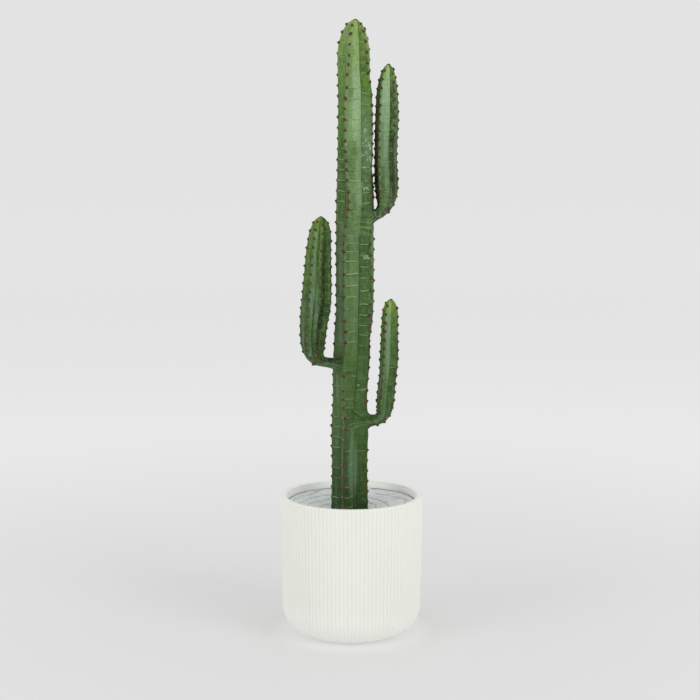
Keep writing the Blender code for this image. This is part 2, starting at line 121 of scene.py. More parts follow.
STEM = dict(
    azimuth=90,
    spine=((-0.0028, STEM_FOOT, 0.0345), (-0.0028, 0.262, 0.0338), (-0.0030, 0.320, 0.0329),
           (-0.0029, 0.369, 0.0340), (-0.0018, 0.430, 0.0325), (-0.0004, 0.489, 0.0337),
           (0.0030, 0.545, 0.0342), (0.0065, 0.600, 0.0350), (0.0066, 0.695, 0.0350),
           (0.0070, 0.780, 0.0347), (0.0075, 0.840, 0.0333), (0.0070, 0.900, 0.0318),
           (0.0070, 0.970, 0.0312), (0.0060, 1.030, 0.0312), (0.0060, 1.070, 0.0308),
           (0.0068, 1.1060, 0.0305)),
    dome=0.062,
    pitch=0.0191,
    ribs=(
        -100,
        ((0.24, -19), (0.32, -21), (0.375, -13), (0.44, -25), (0.54, -24), (0.60, -36),
         (0.71, -37), (0.79, -21), (0.84, -30), (0.89, -37), (0.96, -38), (0.99, -30), (1.05, -19)),
        ((0.24, 70), (0.38, 72), (0.44, 64), (0.50, 70), (0.59, 47), (0.66, 55), (0.72, 50),
         (0.78, 56), (0.83, 51), (0.88, 68), (0.92, 73), (0.97, 67), (1.025, 46), (1.06, 42)),
        ((0.50, 125), (0.58, 112), (0.80, 110), (0.87, 125)),
        190,
    ),
    valleys=(
        0.5,
        ((0.24, 0.44), (0.34, 0.45), (0.44, 0.56), (0.50, 0.60), (0.70, 0.62), (0.82, 0.69),
         (0.95, 0.66)),
        0.5,
        0.5,
        0.5,
    ),
    fold=0.24,
    nub_size=1.0,
    dull=((0.24, 0.35), (0.45, 0.0), (0.74, 0.0), (0.85, 0.5), (1.10, 0.4)),
    lined=1.0,
    gleam=0.35,
    rugged=((0.24, 0.35), (0.55, 0.40), (0.75, 0.75), (0.90, 1.0)),
    # How far each rib's nubs are set off from the rows, in rows, by row number
    drifts=(
        -0.2,
        ((1, 0.1), (4, 0.04), (5.5, -0.18), (7, 0.05), (13, 0.0), (15, -0.3), (17, -0.16),
         (20, -0.94), (23, -1.6), (26, -1.24), (30, -0.68), (34, -0.48), (36, 0.08), (38, -0.27),
         (41, -0.18), (44, 0.42), (47, 0.54)),
        ((1, -0.28), (5, -0.22), (7, -0.5), (8, -0.2), (10, -0.5), (12, -0.7), (14, -0.6),
         (16, -0.22), (18, -0.1), (20, -0.42), (22, -0.22), (25, 0.0), (28, 0.56), (30, 0.58),
         (33, 0.8), (37, 1.16), (40, 1.4), (42, 2.05), (45, 2.08)),
        0.4,
        -0.1,
    ),
    # How light the two flanks between each crest and the next are: below 0 painted shade, 0 plain, 1
    # waxy bloom, above 1 more bloom and painted light; the light and shade stand for how each flank
    # faces the light
    tones=((((0.40, 0.2), (0.52, 0.7), (0.61, 0.7), (0.68, 1.2), (0.73, 0.9), (0.78, -0.4),
             (0.90, -0.15), (0.98, 0.2)),
            ((0.40, 0.1), (0.60, -0.1), (0.70, 0.4), (0.78, -0.8), (1.00, -0.3))),
           (((0.25, 0.0), (0.40, 0.35), (0.58, 0.5), (0.70, 0.40), (0.79, 0.9), (0.86, 0.9),
             (0.95, 1.45), (1.00, 1.0), (1.05, 0.9)),
            ((0.25, -0.6), (0.42, 0.0), (0.60, -0.25), (0.72, -0.25), (0.84, 0.0), (0.96, 0.3),
             (1.02, -0.6))),
           (0.5, -0.3), (0.8, -0.3), (0.7, -0.3)),
    points=28,
    ages=((0.0, 0.0), (0.05, 0.20), (0.13, 0.42), (0.26, 0.60), (0.50, 0.70), (0.72, 0.80),
          (0.84, 1.0)),
)
ARMS = {
    "left": dict(
        azimuth=-66,
        spine=((0.010, 0.493, 0.0130), (0.023, 0.4955, 0.0155), (0.033, 0.498, 0.0130),
               (0.043, 0.5005, 0.0108), (0.056, 0.5035, 0.0110), (0.066, 0.5095, 0.0148),
               (0.0725, 0.521, 0.0188), (0.0750, 0.542, 0.0226), (0.0728, 0.578, 0.0252),
               (0.0692, 0.604, 0.0268), (0.0661, 0.643, 0.0255), (0.0643, 0.690, 0.0230),
               (0.0610, 0.728, 0.0205), (0.0591, 0.762, 0.0195)),
        dome=0.040,
        pitch=0.0169,
        ribs=(-85, -30, 15, 75, 150, 210),
        valleys=(0.5,) * 6,
        fold=0.21,
        nub_size=0.86,
        dull=0.85,
        lined=0.40,
        gleam=1.0,
        rugged=0.8,
        drifts=(0.1, -0.05, 0.32, 0.1, -0.3, 0.45),
        bend_height=0.515,
        tones=((0.0, -0.3), (0.35, -0.35), (-2.0, -1.0), (0.4, -0.4), (0.5, -0.3), (0.4, -0.4)),
        points=20,
        root=0.050,
        flare=(0.008, 0.011, 0.015),
        roundness=0.62,
    ),
    "upper_right": dict(
        azimuth=88,
        spine=((0.010, 0.750, 0.0120), (0.025, 0.7535, 0.0155), (0.035, 0.7575, 0.0138),
               (0.043, 0.7625, 0.0114), (0.051, 0.7690, 0.0113), (0.0575, 0.778, 0.0143),
               (0.0610, 0.790, 0.0183), (0.0622, 0.806, 0.0212), (0.0618, 0.824, 0.0223),
               (0.0606, 0.862, 0.0213), (0.0610, 0.897, 0.0217), (0.0625, 0.935, 0.0219),
               (0.0630, 0.985, 0.0198), (0.0651, 1.0285, 0.0190)),
        dome=0.060,
        pitch=0.0155,
        ribs=(-112, -38, 40, 110, 180),
        valleys=(0.5, 0.75, 0.5, 0.5, 0.5),
        fold=0.24,
        nub_size=0.94,
        dull=0.50,
        lined=0.55,
        gleam=0.7,
        rugged=1.0,
        drifts=(0.2, 0.1, 0.4, -0.2, -0.4),
        bend_height=0.782,
        tones=((-0.5, -0.6), (((0.76, 0.5), (0.83, 1.2)), ((0.77, 0.3), (0.84, -0.8))),
               (0.4, -0.3), (0.7, -0.4), (0.5, -0.4)),
        points=22,
        root=0.049,
        flare=(0.007, 0.010, 0.014),
        roundness=0.30,
    ),
    "lower_right": dict(
        azimuth=64,
        spine=((0.010, 0.390, 0.0130), (0.023, 0.392, 0.0182), (0.032, 0.3935, 0.0155),
               (0.041, 0.3950, 0.0114), (0.051, 0.3980, 0.0108), (0.0595, 0.4045, 0.0125),
               (0.0648, 0.416, 0.0152), (0.0668, 0.432, 0.0172), (0.0688, 0.455, 0.0174),
               (0.0718, 0.482, 0.0171), (0.0740, 0.515, 0.0182), (0.0745, 0.548, 0.0170),
               (0.0755, 0.580, 0.0160), (0.0777, 0.616, 0.0156)),
        dome=0.030,
        pitch=0.0158,
        ribs=(-122, -32, 64, 148),
        valleys=(0.5,) * 4,
        fold=0.19,
        nub_size=0.90,
        dull=0.75,
        lined=0.75,
        gleam=0.7,
        rugged=0.6,
        drifts=(-0.3, 0.05, 0.3, -0.1),
        bend_height=0.408,
        tones=((0.0, -0.5), (0.45, -0.5), (0.3, -0.3), (0.6, -0.3)),
        points=24,
        root=0.049,
        flare=(0.009, 0.011, 0.014),
        roundness=0.62,
    ),
}
ARM_AGES = ((0.0, 0.12), (0.03, 0.36), (0.08, 0.60), (0.20, 0.82), (0.40, 0.88))
# Marks on the front of the plant: (x, height, half breadth, half height)
MARKS = {
    "scar": ((0.0250, 0.811, 0.0062, 0.0032), (0.0185, 0.817, 0.0018, 0.0045),
             (0.0330, 0.884, 0.0025, 0.0070), (0.0315, 0.866, 0.0022, 0.0040),
             (-0.0099, 0.934, 0.0016, 0.0040), (-0.0099, 0.888, 0.0016, 0.0024),
             (0.0275, 0.689, 0.0055, 0.0032), (0.0215, 0.4515, 0.0080, 0.0019),
             (0.0115, 0.459, 0.0022, 0.0018)),
    "sheen": ((-0.0088, 1.060, 0.0014, 0.0400), (-0.0090, 0.985, 0.0014, 0.0250),
              (0.0022, 0.310, 0.0065, 0.0500), (-0.0640, 0.640, 0.0030, 0.0450),
              (0.0640, 0.530, 0.0030, 0.0450), (-0.0400, 0.498, 0.0180, 0.0050),
              (0.0580, 0.930, 0.0060, 0.0700), (0.0400, 0.718, 0.0030, 0.0220)),
    "shadow": ((0.0185, 0.3890, 0.0100, 0.0070), (0.0300, 0.3800, 0.0080, 0.0060)),
    "net": ((0.0260, 0.890, 0.0100, 0.0500),),
}
MARK_REACH = 0.018             # marks end this far behind the pot's axis
MARK_EDGE = (0.3, 2.0)         # a mark fades out between these shares of its size
FILLET_RINGS = 14
FILLET_SINK = 0.0003           # how far a fillet's edge is let into the stem
FILLET_AIM = 0.001             # it heads for the spine, this far from its inner end
FILLET_LEAST = 0.002           # its least reach over the stem's skin
FILLET_PASSES = (2, 4)         # how often its landings are evened out, and their directions
FILLET_REACH = 0.045           # skin farther off than this along the arm isn't the root's
FILLET_LEAD = 0.60             # how long a fillet keeps to the arm, and then to the stem's skin
FILLET_LAND = 0.75
FILLET_SHRINKS = (1.0, 0.85, 0.7, 0.5, 0.3, 0.0)   # tried in turn where the skin falls away
FILLET_BLEND = (0.15, 1.0)     # shares of the way between which the stem's colours come in
ROOT_HAZE = 0.016              # bare skin round a root fades out over this width
ROOT_PLAIN = 0.999             # how plain the skin is on a fillet, at least

# Nubs: (radius, height) of a nub's outline for a nub of breadth and height 1, from its point down
NUB_OUTLINE = ((0.20, 0.92), (0.42, 0.70), (0.66, 0.42), (0.90, 0.16), (1.08, -0.05), (1.15, -0.45))
NUB_SIDES = 11
NUB_RAGGED = 0.20              # how uneven a nub's outline is, as a share of its breadth
NUB_UPRIGHT = 0.88             # breadth across the limb, to that along it
TIP_NUB = (1.10, 0.50)         # breadth and height of the one on a limb's very tip, to the others'
NUB_UPTURN = 0.22              # how far a nub's point is turned up towards the limb's tip
NUB_CURL = 1.5                 # the larger, the nearer its point it turns
NUB_DARKNESS = 1.6             # the larger, the fewer nubs are pale
# Least and most of a nub's size, height, added upturn and skew, and of how dull it is
NUB_SIZES = (0.82, 1.14)
NUB_HEIGHTS = (0.80, 1.1)
NUB_TURNS = (-0.14, 0.14)
NUB_SKEWS = (-0.16, 0.16)
NUB_DULLS = (0.7, 1.1)

# Camera, fitted to the pot's ellipses
CAMERA_PLACE = (-0.0028, -2.952, 0.920)
CAMERA_DIP = 7.70              # degrees below level
CAMERA_LENS = 85.0
CAMERA_SENSOR = 36.0

# Studio
LAMPS = {"key": (4.2, -4.0, 2.6), "fill_light": (-4.4, -3.2, 2.2), "top_light": (0.2, -0.4, 4.4)}
LAMP_SIZE = 3.0
LAMP_AIM = (0.0, 0.0, 0.55)
FLOOR_RADII = (0.3, 0.6, 1.0, 1.4, 1.8, 2.3, 3.0, 4.0, 5.5, 8.0, 20.0, 60.0)
FLOOR_SIDES = 64
FLOOR_FADE = (0.15, 2.3)       # distances from the pot between which the floor grows lighter
FLOOR_END = (2.5, 10.0)        # and between which it takes its last colour
FLOOR_END_COLOUR = (0.845,) * 3
FLOOR_GLOW = (0.12,) * 3       # the floor's own faint light, and that of a ring under the pot
FOOT_GLOW = (0.28,) * 3
FOOT_RING = (0.075, 0.165)     # distances between which the ring's light fades


def a_colour(name, description, *default):
    return bpy.props.FloatVectorProperty(
        name=name, description=description, default=default, subtype="COLOR")


def a_number(name, description, default, **kind):
    return bpy.props.FloatProperty(name=name, description=description, default=default, **kind)


def a_length(name, description, default):
    return a_number(name, description, default, unit="LENGTH")


class PotLook(bpy.types.PropertyGroup):
    """Sizes and colours of the pot."""

    reeds: bpy.props.IntProperty(
        name="Reeds", description="Upright reeds round the pot", default=108, min=24, max=240)
    reed_depth: a_length("Reed depth", "Depth of the grooves between the reeds", 0.0011)
    colour: a_colour("Clay", "Main colour of the pot", 0.85, 0.86, 0.795)
    # painted shade deep between the reeds
    groove_shade_colour: a_colour("Groove", "Colour deep between the reeds", 0.74, 0.75, 0.68)
    # painted light: lighter than the clay, against the shade inside the pot
    inner_painted_light_colour: a_colour("Inside", "Colour of the wall above the filler", 1.0, 1.0, 0.98)
    roughness: a_number("Roughness", "Roughness of the glaze", 0.48, subtype="FACTOR")


class FillLook(bpy.types.PropertyGroup):
    """Sizes and colours of the filler in the pot."""

    ridge: a_length("Ridge height", "Height of the smeared ridges on the filler", 0.0018)
    colour: a_colour("Filler", "Main colour of the filler", 0.67, 0.70, 0.69)
    # painted shade in the filler's hollows
    hollow_shade_colour: a_colour("Hollows", "Colour of the filler's hollows", 0.36, 0.39, 0.38)


class SkinLook(bpy.types.PropertyGroup):
    """Colours of the moulded skin, from the young tips to the old foot."""

    tip_colour: a_colour("Tip", "Skin at the very tips", 0.270, 0.385, 0.085)
    young_colour: a_colour("Young", "Skin below the tips", 0.112, 0.208, 0.036)
    body_colour: a_colour("Body", "Skin half way down", 0.068, 0.140, 0.036)
    foot_colour: a_colour("Foot", "Skin at the foot", 0.018, 0.052, 0.006)
    wax_colour: a_colour("Wax", "Pale bloom beside the valleys", 0.330, 0.480, 0.255)
    lime_colour: a_colour("Lime", "Pale bloom near the tips", 0.340, 0.500, 0.150)
    sap_colour: a_colour("Sap", "Lighter flecks in the skin", 0.200, 0.330, 0.100)
    crease_colour: a_colour("Crease", "Pale lines across the flanks", 0.34, 0.45, 0.26)
    edge_colour: a_colour("Crest edge", "Brown line along the crests", 0.10, 0.055, 0.03)
    relief: a_length("Relief", "Height of the slow unevenness of the skin", 0.0005)
    pad: a_number("Pads", "How far a crest swells at a nub, as a share of its radius", 0.022,
                  subtype="FACTOR")


class NubLook(bpy.types.PropertyGroup):
    """Sizes and colours of the nubs."""

    height: a_length("Height", "How far a nub stands out", 0.0029)
    breadth: a_length("Breadth", "Breadth of a nub at its foot", 0.0064)
    colour: a_colour("Nub", "Main colour of the nubs", 0.082, 0.025, 0.020)
    pale_colour: a_colour("Pale nub", "Colour of the palest nubs", 0.150, 0.060, 0.030)
    foot_colour: a_colour("Foot nub", "Colour of the nubs near the pot", 0.15, 0.024, 0.022)
    dull_colour: a_colour("Dull nub", "Colour that the dullest nubs tend towards",
                          0.072, 0.056, 0.030)
    seed: bpy.props.IntProperty(
        name="Seed", description="Deals out the nubs' small differences", default=7)


class StudioLook(bpy.types.PropertyGroup):
    """Floor and lights."""

    floor_colour: a_colour("Floor", "Colour of the floor round the pot", 0.64, 0.64, 0.64)
    far_colour: a_colour("Far floor", "Colour of the floor farther off", 0.79, 0.79, 0.79)
    sky: a_number("Sky", "Strength of the light from all round", 0.77)
    key: a_number("Key", "Power of the large light at the right", 84.0, unit="POWER")
    fill_light: a_number("Fill light", "Power of the weaker light at the left", 52.0, unit="POWER")
    top_light: a_number("Top light", "Power of the overhead light", 12.0, unit="POWER")


class Value:
    """A number that varies over a surface.  Arithmetic on it adds Math nodes."""

    def __init__(self, paint, socket):
        self.paint = paint
        self.socket = socket

    def math(self, operation, *terms):
        return self.paint.add("ShaderNodeMath", {"operation": operation}, *terms)

    def __add__(self, other):
        return self.math("ADD", self, other)

    def __sub__(self, other):
        return self.math("SUBTRACT", self, other)

    def __rsub__(self, other):
        return self.math("SUBTRACT", other, self)

    def __mul__(self, other):
        return self.math("MULTIPLY", self, other)

    __radd__ = __add__
    __rmul__ = __mul__

    def size(self):
        return self.math("ABSOLUTE", self)

    def whole(self):
        return self.math("FLOOR", self)

    def larger(self, other):
        return self.math("MAXIMUM", self, other)

    def past_whole(self):
        """How far it is past the nearest whole number, from -0.5 to 0.5."""
        return self.math("FRACT", self + 0.5) - 0.5

    def swing(self, amount):
        """How far it is from 0.5, this many times over."""
        return (self - 0.5) * amount

    def lifted(self, low):
        """The same from 0 to 1, squeezed to lie between low and 1."""
        return low + self * (1 - low)

    def rise(self, low, high):
        """0 below low and 1 above high, with a smooth rise between them."""
        return self.paint.add("ShaderNodeMapRange", {"interpolation_type": "SMOOTHSTEP"},
                              self, low, high)

    def fall(self, low, high):
        return 1 - self.rise(low, high)


class Paint:
    """One material's nodes."""

    def __init__(self, name, **constants):
        self.material = bpy.data.materials.new(name)
        self.material.use_nodes = True
        self.nodes = self.material.node_tree.nodes
        self.links = self.material.node_tree.links
        self.shader = self.nodes["Principled BSDF"]
        self.finish(**constants)
        self.place = self.add("ShaderNodeTexCoord", {}, output="Object")

    def add(self, kind, settings, *sockets, output=0, **named):
        """Add a node: its settings first, then its sockets' values or links."""
        node = self.nodes.new(kind)
        for name, value in settings.items():
            if name == "stops":
                self.set_stops(node.color_ramp, value)
            else:
                setattr(node, name, value)
        for key, value in (*enumerate(sockets), *named.items()):
            self.feed(node.inputs[key], value)
        return Value(self, node.outputs[output])

    def feed(self, socket, value):
        if isinstance(value, Value):
            self.links.new(value.socket, socket)
        else:
            socket.default_value = value

    def set_stops(self, ramp, stops):
        while len(ramp.elements) < len(stops):
            ramp.elements.new(1.0)
        for element, (position, colour) in zip(ramp.elements, stops):
            element.position = position
            element.color = (*colour, 1.0)

    def field(self, name):
        """A number kept on the mesh's points."""
        return self.add("ShaderNodeAttribute", {"attribute_name": name}, output="Fac")

    def stretch(self, factors, shift=(0.0, 0.0, 0.0), place=None):
        """The place on the object, or another one, scaled along its axes."""
        return self.add("ShaderNodeVectorMath", {"operation": "MULTIPLY_ADD"},
                        place or self.place, factors, shift)

    def noise(self, *stretch, detail=3.0, roughness=0.5):
        return self.add("ShaderNodeTexNoise", {}, Vector=self.stretch(*stretch), Scale=1.0,
                        Detail=detail, Roughness=roughness, output="Fac")

    def cracks(self, factors):
        """Distance to the nearest edge between cells."""
        return self.add("ShaderNodeTexVoronoi", {"feature": "DISTANCE_TO_EDGE"},
                        Vector=self.stretch(factors), Scale=1.0)

    def chance(self, first, second):
        """A number from 0 to 1 that is dealt out anew for each pair of numbers."""
        return self.add("ShaderNodeTexWhiteNoise", {"noise_dimensions": "2D"},
                        self.pair(first, second))

    def pair(self, first, second):
        return self.add("ShaderNodeCombineXYZ", {}, first, second)

    def mix(self, share, first, second, blend="MIX"):
        """Mix two colours."""
        node = self.nodes.new("ShaderNodeMix")
        node.data_type = "RGBA"
        node.blend_type = blend
        for key, value in ((0, share), (6, first), (7, second)):
            self.feed(node.inputs[key], colour_of(value))
        return Value(self, node.outputs[2])

    def layers(self, colour, *layers):
        """Lay colours on one after another: (share, colour), or with a blend as well."""
        for share, *layer in layers:
            colour = self.mix(share, colour, *layer)
        return colour

    def bump(self, height, distance):
        return self.add("ShaderNodeBump", {}, Strength=1.0, Distance=distance, Height=height)

    def finish(self, **sockets):
        for name, value in sockets.items():
            self.feed(self.shader.inputs[name.replace("_", " ")], value)
        return self.material


def colour_of(value):
    """A colour property as four numbers; anything else as it is."""
    if isinstance(value, (Value, float, int)):
        return value
    return (*value, 1.0)


def through(rows, where):
    """Read rows of (place, value) at many places, on a curve with level ends that never overshoots."""
    places, values = np.array(rows, float).T
    low = np.clip(np.searchsorted(places, where) - 1, 0, len(rows) - 2)
    share = np.clip((where - places[low]) / (places[low + 1] - places[low]), 0.0, 1.0)
    return values[low] + (values[low + 1] - values[low]) * share * share * (3 - 2 * share)


def read(rows, where):
    """A number, or rows of (place, value), read at many places."""
    return through(rows, where) if isinstance(rows, tuple) else np.full(np.shape(where), float(rows))


def ramp(rows, where):
    """Read rows of (place, value) along straight lines."""
    places, values = np.array(rows, float).T
    return np.interp(where, places, values)


def smoothstep(value, low, high):
    share = np.clip((value - low) / (high - low), 0.0, 1.0)
    return share * share * (3 - 2 * share)


class Limb:
    """A ribbed limb, read by its distance down the spine from the tip, at many places at once."""

    SAMPLES = 16               # spine points read between two stations
    DRIFT_PASSES = 8           # a drift depends on its own row number, so it is found step by step
    BARE_ROWS = 1.4            # rows at the root that bear no nubs
    AHEAD = 0.002              # a nub's way uphill is read this far up from it
    BELOW_TIP = 0.003          # and the tip's this far down
    ages = ARM_AGES
    bend_height = None
    root = None
    roundness = 0.0

    def __init__(self, azimuth, spine, **rules):
        """The other rules of STEM and ARMS become the limb's own values by their names."""
        vars(self).update(rules)
        self.turn = radians(azimuth)
        self.outward = np.array((np.sin(self.turn), -np.cos(self.turn), 0.0))
        self.sideways = np.array((np.cos(self.turn), np.sin(self.turn), 0.0))
        self.trace(spine)
        self.space_rows()
        self.split = None
        if self.bend_height:
            heights = self.at(self.rows)[:, 1]
            self.split = int(np.argmin(abs(heights - self.bend_height)))

    def trace(self, spine):
        """Sample a Catmull-Rom curve through the stations, from the tip down to the root."""
        stations = np.array(spine[::-1])
        stations = np.vstack((2 * stations[0] - stations[1], stations,
                              2 * stations[-1] - stations[-2]))
        t = (np.arange(self.SAMPLES) / self.SAMPLES)[:, None]
        samples = []
        for a, b, c, d in zip(stations, stations[1:], stations[2:], stations[3:]):
            samples.append(0.5 * (2 * b + (c - a) * t + (2 * a - 5 * b + 4 * c - d) * t ** 2
                                  + (3 * b - a - 3 * c + d) * t ** 3))
        self.samples = np.vstack((*samples, stations[-2]))
        steps = np.hypot(*np.diff(self.samples[:, :2], axis=0).T)
        self.reach = np.concatenate(([0.0], np.cumsum(steps)))
        self.length = self.reach[-1]

    def at(self, depth):
        """Distance from the pot's axis, height and crest radius of the body at each depth."""
        return np.stack([np.interp(depth, self.reach, column) for column in self.samples.T], axis=-1)

    def uphill(self, depth, reach=0.003):
        """Unit direction of the spine towards the tip: its outward and upward parts."""
        depth = np.minimum(depth, self.length)
        step = self.at(depth - reach)[..., :2] - self.at(depth + reach)[..., :2]
        return step / np.linalg.norm(step, axis=-1, keepdims=True)

    def turn_rate(self, depth, reach=0.004):
        """Curvature of the spine."""
        turn = self.uphill(depth - reach) - self.uphill(depth + reach)
        return np.linalg.norm(turn, axis=-1) / (2 * reach)

    def bend_share(self, depth):
        """How far a place lies on an arm's bend."""
        if self.root is None:
            return np.zeros(np.shape(depth))
        return smoothstep(self.turn_rate(np.maximum(depth, self.dome)), *BEND_RATES)

    def space_rows(self):
        """Depths of the rows of nubs: close at the tip, then evenly along the outside of a bend."""
        gap = FIRST_ROW
        rows = [gap]
        while rows[-1] < self.length:
            gap = min(self.pitch, gap * ROW_GROWTH)
            stretch = 1 + self.turn_rate(rows[-1]) * self.at(rows[-1])[2]
            rows.append(rows[-1] + gap / stretch)
        self.rows = np.array(rows) * (self.length / rows[-1])
        self.numbers = np.arange(-1, len(self.rows))
        self.depths = np.concatenate(([0.0], self.rows))

    def row_depth(self, number):
        """Depth of a row by its number, which need not be whole.  Row -1 is the very tip."""
        return np.interp(number, self.numbers, self.depths)

    def row_number(self, depth):
        return np.interp(depth, self.depths, self.numbers)

    def drift(self, number):
        """How far each rib's nubs are set off from the rows, in rows, at these row numbers."""
        return np.stack([read(drift, number) for drift in self.drifts], axis=-1)

    def neck_share(self, height):
        """How far the section has turned into a plain round neck."""
        if self.split is None:
            return np.zeros(np.shape(height))
        top = self.bend_height + NECK_TOP
        return smoothstep(top - height, 0.0, NECK_BLEND)

    def spread(self):
        """The points from one crest to the next: crest, near flank, valley, far flank.

        Gives how far each is across its flank, 0 on a crest and 1 in a valley, and its side."""
        half = self.points // 2
        even = np.arange(half) / half
        near = even - FLANK_CROWDING * np.sin(2 * pi * even) / (2 * pi)
        across = np.concatenate((near, 1 - near))
        return across, np.arange(self.points) < half

    def section(self, height):
        """Polar angle and radius of each point of the star at each height, with crests near 1."""
        across, is_near = self.spread()
        angles = np.stack([radians(1) * read(rib, height) for rib in self.ribs], axis=-1)
        angles = np.concatenate((angles, angles[:, :1] + 2 * pi), axis=1)
        shares = np.stack([read(share, height) for share in self.valleys], axis=-1)
        crest = np.exp(1j * angles[:, :-1])
        following = np.exp(1j * angles[:, 1:])
        valley = (crest + (following - crest) * shares) * (1 - self.fold)
        near_gap = np.angle(valley / crest)
        far_gap = np.angle(following / valley)
        deep = abs(valley)
        gap = np.where(is_near, near_gap[..., None], far_gap[..., None])
        start = np.where(is_near, angles[:, :-1, None], angles[:, 1:, None])
        sign = np.where(is_near, 1.0, -1.0)
        angle = start + sign * across * gap
        soft = np.sqrt(across ** 2 + CREST_ROUND ** 2) - CREST_ROUND
        soft = soft / soft.max()
        deep = deep[..., None]
        radius = deep * np.sin(gap) / (np.sin(gap * soft) * (1 - deep * np.cos(gap))
                                       + deep * np.sin(gap) * np.cos(gap * soft))
        swell = soft ** (2 / 3)
        radius = radius + BULGE * 4 * swell * (1 - swell)
        plain = self.roundness * self.neck_share(height)[:, None, None]
        radius = radius * (1 - plain) + NECK_SIZE * plain
        count = len(self.ribs) * self.points
        return angle.reshape(-1, count), radius.reshape(-1, count)

    def place(self, depth, outward, sideways):
        """Points on the limb, from how far each lies out and to the side of its spine."""
        body = self.at(depth)
        uphill = self.uphill(depth)
        size = body[..., 2] * np.sqrt(1 - (1 - np.clip(depth / self.dome, 0.0, 1.0)) ** 2)
        distance = body[..., 0] + size * outward * uphill[..., 1]
        point = distance[..., None] * self.outward + (size * sideways)[..., None] * self.sideways
        point[..., 2] += body[..., 1] - size * outward * uphill[..., 0]
        return point

    def skin(self, numbers, look):
        """Rings of points at these row numbers, with the fields that colour them."""
        depth = self.row_depth(numbers)
        across, is_near = self.spread()
        ribs = len(self.ribs)
        rib = np.repeat(np.arange(ribs), self.points)
        near = np.tile(is_near, ribs)
        across = np.tile(across, ribs)
        drift = self.drift(numbers)
        row = numbers[:, None] - np.where(near, drift[:, rib], drift[:, (rib + 1) % ribs])
        beside = abs(row - np.round(row))
        pads = look.pad * np.exp(-(beside / PAD_ROWS) ** 2) * (row > 0.5)
        pads = pads * np.exp(-(across / PAD_ACROSS) ** 2)
        height = self.at(depth)[:, 1]
        angle, radius = self.section(height)
        radius = radius * (1 + pads)
        tones = np.stack([[read(tone, height) for tone in pair] for pair in self.tones])
        turned = angle - self.turn
        depth = np.repeat(depth[:, None], len(rib), axis=1)
        points = self.place(depth, radius * np.cos(turned), radius * np.sin(turned))
        fields = {
            "row": row,
            "across": across,
            "flank": 2.0 * rib + near,
            "age": ramp(self.ages, depth),
            "plain": self.neck_share(points[..., 2]) * self.roundness / NECK_FULL_ROUNDNESS,
            # each flank's painted light and shade, and its waxy bloom
            "tone": np.where(near, tones[rib, 0].T, tones[rib, 1].T),
            "lined": self.lined,
            "gleam": self.gleam,
            "bend": self.bend_share(depth[:, :1]),
            "rugged": read(self.rugged, height)[:, None],
            "turn_x": np.cos(turned),
            "turn_y": np.sin(turned),
        }
        return points, {key: np.broadcast_to(value, depth.shape).copy()
                        for key, value in fields.items()}

    def bears_nub(self, number, point):
        """Every crest bears nubs, but past the bend only those on its outside."""
        if self.split is None or number < self.split:
            return True
        middle = self.at(self.row_depth(number))
        first, last = NUB_ROWS_PAST_BEND
        return first < number - self.split <= last and point @ self.outward > middle[0]

    def crest_points(self):
        """Each nub's place: the point of its crest, the way uphill and the way out of the skin."""
        places = []
        for rib, angle in enumerate(self.ribs):
            numbers = self.own_rows(rib, np.arange(1, len(self.rows) + 2))
            numbers = numbers[numbers < len(self.rows) - self.BARE_ROWS]
            depth = self.row_depth(numbers)
            turned = radians(1) * read(angle, self.at(depth)[:, 1]) - self.turn
            inner = self.place(depth, 0.5 * np.cos(turned), 0.5 * np.sin(turned))
            crest = self.place(depth, np.cos(turned), np.sin(turned))
            above = self.place(depth - self.AHEAD, np.cos(turned), np.sin(turned))
            for number, middle, point, ahead in zip(numbers, inner, crest, above):
                if self.bears_nub(number, point):
                    places.append((point, ahead - point, point - middle))
        return places

    def own_rows(self, rib, rows):
        """The row numbers at which a rib's nubs sit, drift and all."""
        numbers = rows.astype(float)
        for _ in range(self.DRIFT_PASSES):
            numbers = rows + read(self.drifts[rib], numbers)
        return numbers

    def tip(self):
        """The very tip of the limb and the way that it points."""
        side, up = self.uphill(np.array(self.BELOW_TIP))
        way = side * self.outward + np.array((0.0, 0.0, up))
        return self.place(np.array(0.0), np.array(0.0), np.array(0.0)), way


def make_limbs():
    return Limb(**STEM), {name: Limb(**values) for name, values in ARMS.items()}


def root_middle(arm):
    """Where an arm's spine enters the stem's skin, and the arm's radius there."""
    body = arm.at(arm.length - ROOT_INSET)
    return arm.outward * body[0] + np.array((0.0, 0.0, body[1])), body[2]


def fan(ring, middle, flip=False):
    """Triangles from a closed ring of point numbers to one point in its middle."""
    return [(ahead, here, middle) if flip else (here, ahead, middle)
            for here, ahead in zip(ring, ring[1:] + ring[:1])]


def tube_faces(rings, points, ends):
    """Quads between neighbouring closed rings, and fans to the one or two end points after them."""
    i = np.arange(points)
    j = (i + 1) % points
    start = (np.arange(rings - 1) * points)[:, None]
    quads = np.stack((start + i, start + points + i, start + points + j, start + j), axis=-1)
    count = rings * points
    faces = quads.reshape(-1, 4).tolist() + fan(list(range(points)), count)
    if ends == 2:
        faces += fan(list(range(count - points, count)), count + 1, flip=True)
    return faces


def add_mesh(name, points, faces, material, fields=None, sharp=180):
    mesh = bpy.data.meshes.new(name)
    mesh.from_pydata(points.tolist() if isinstance(points, np.ndarray) else points, [], faces)
    for key, values in (fields or {}).items():
        layer = mesh.attributes.new(key, "FLOAT", "POINT")
        layer.data.foreach_set("value", np.asarray(values, np.float32).ravel())
    mesh.shade_smooth()
    if sharp < 180:
        mesh.set_sharp_from_angle(angle=radians(sharp))
    mesh.materials.append(material)
    item = bpy.data.objects.new(name, mesh)
    bpy.context.collection.objects.link(item)
    return item


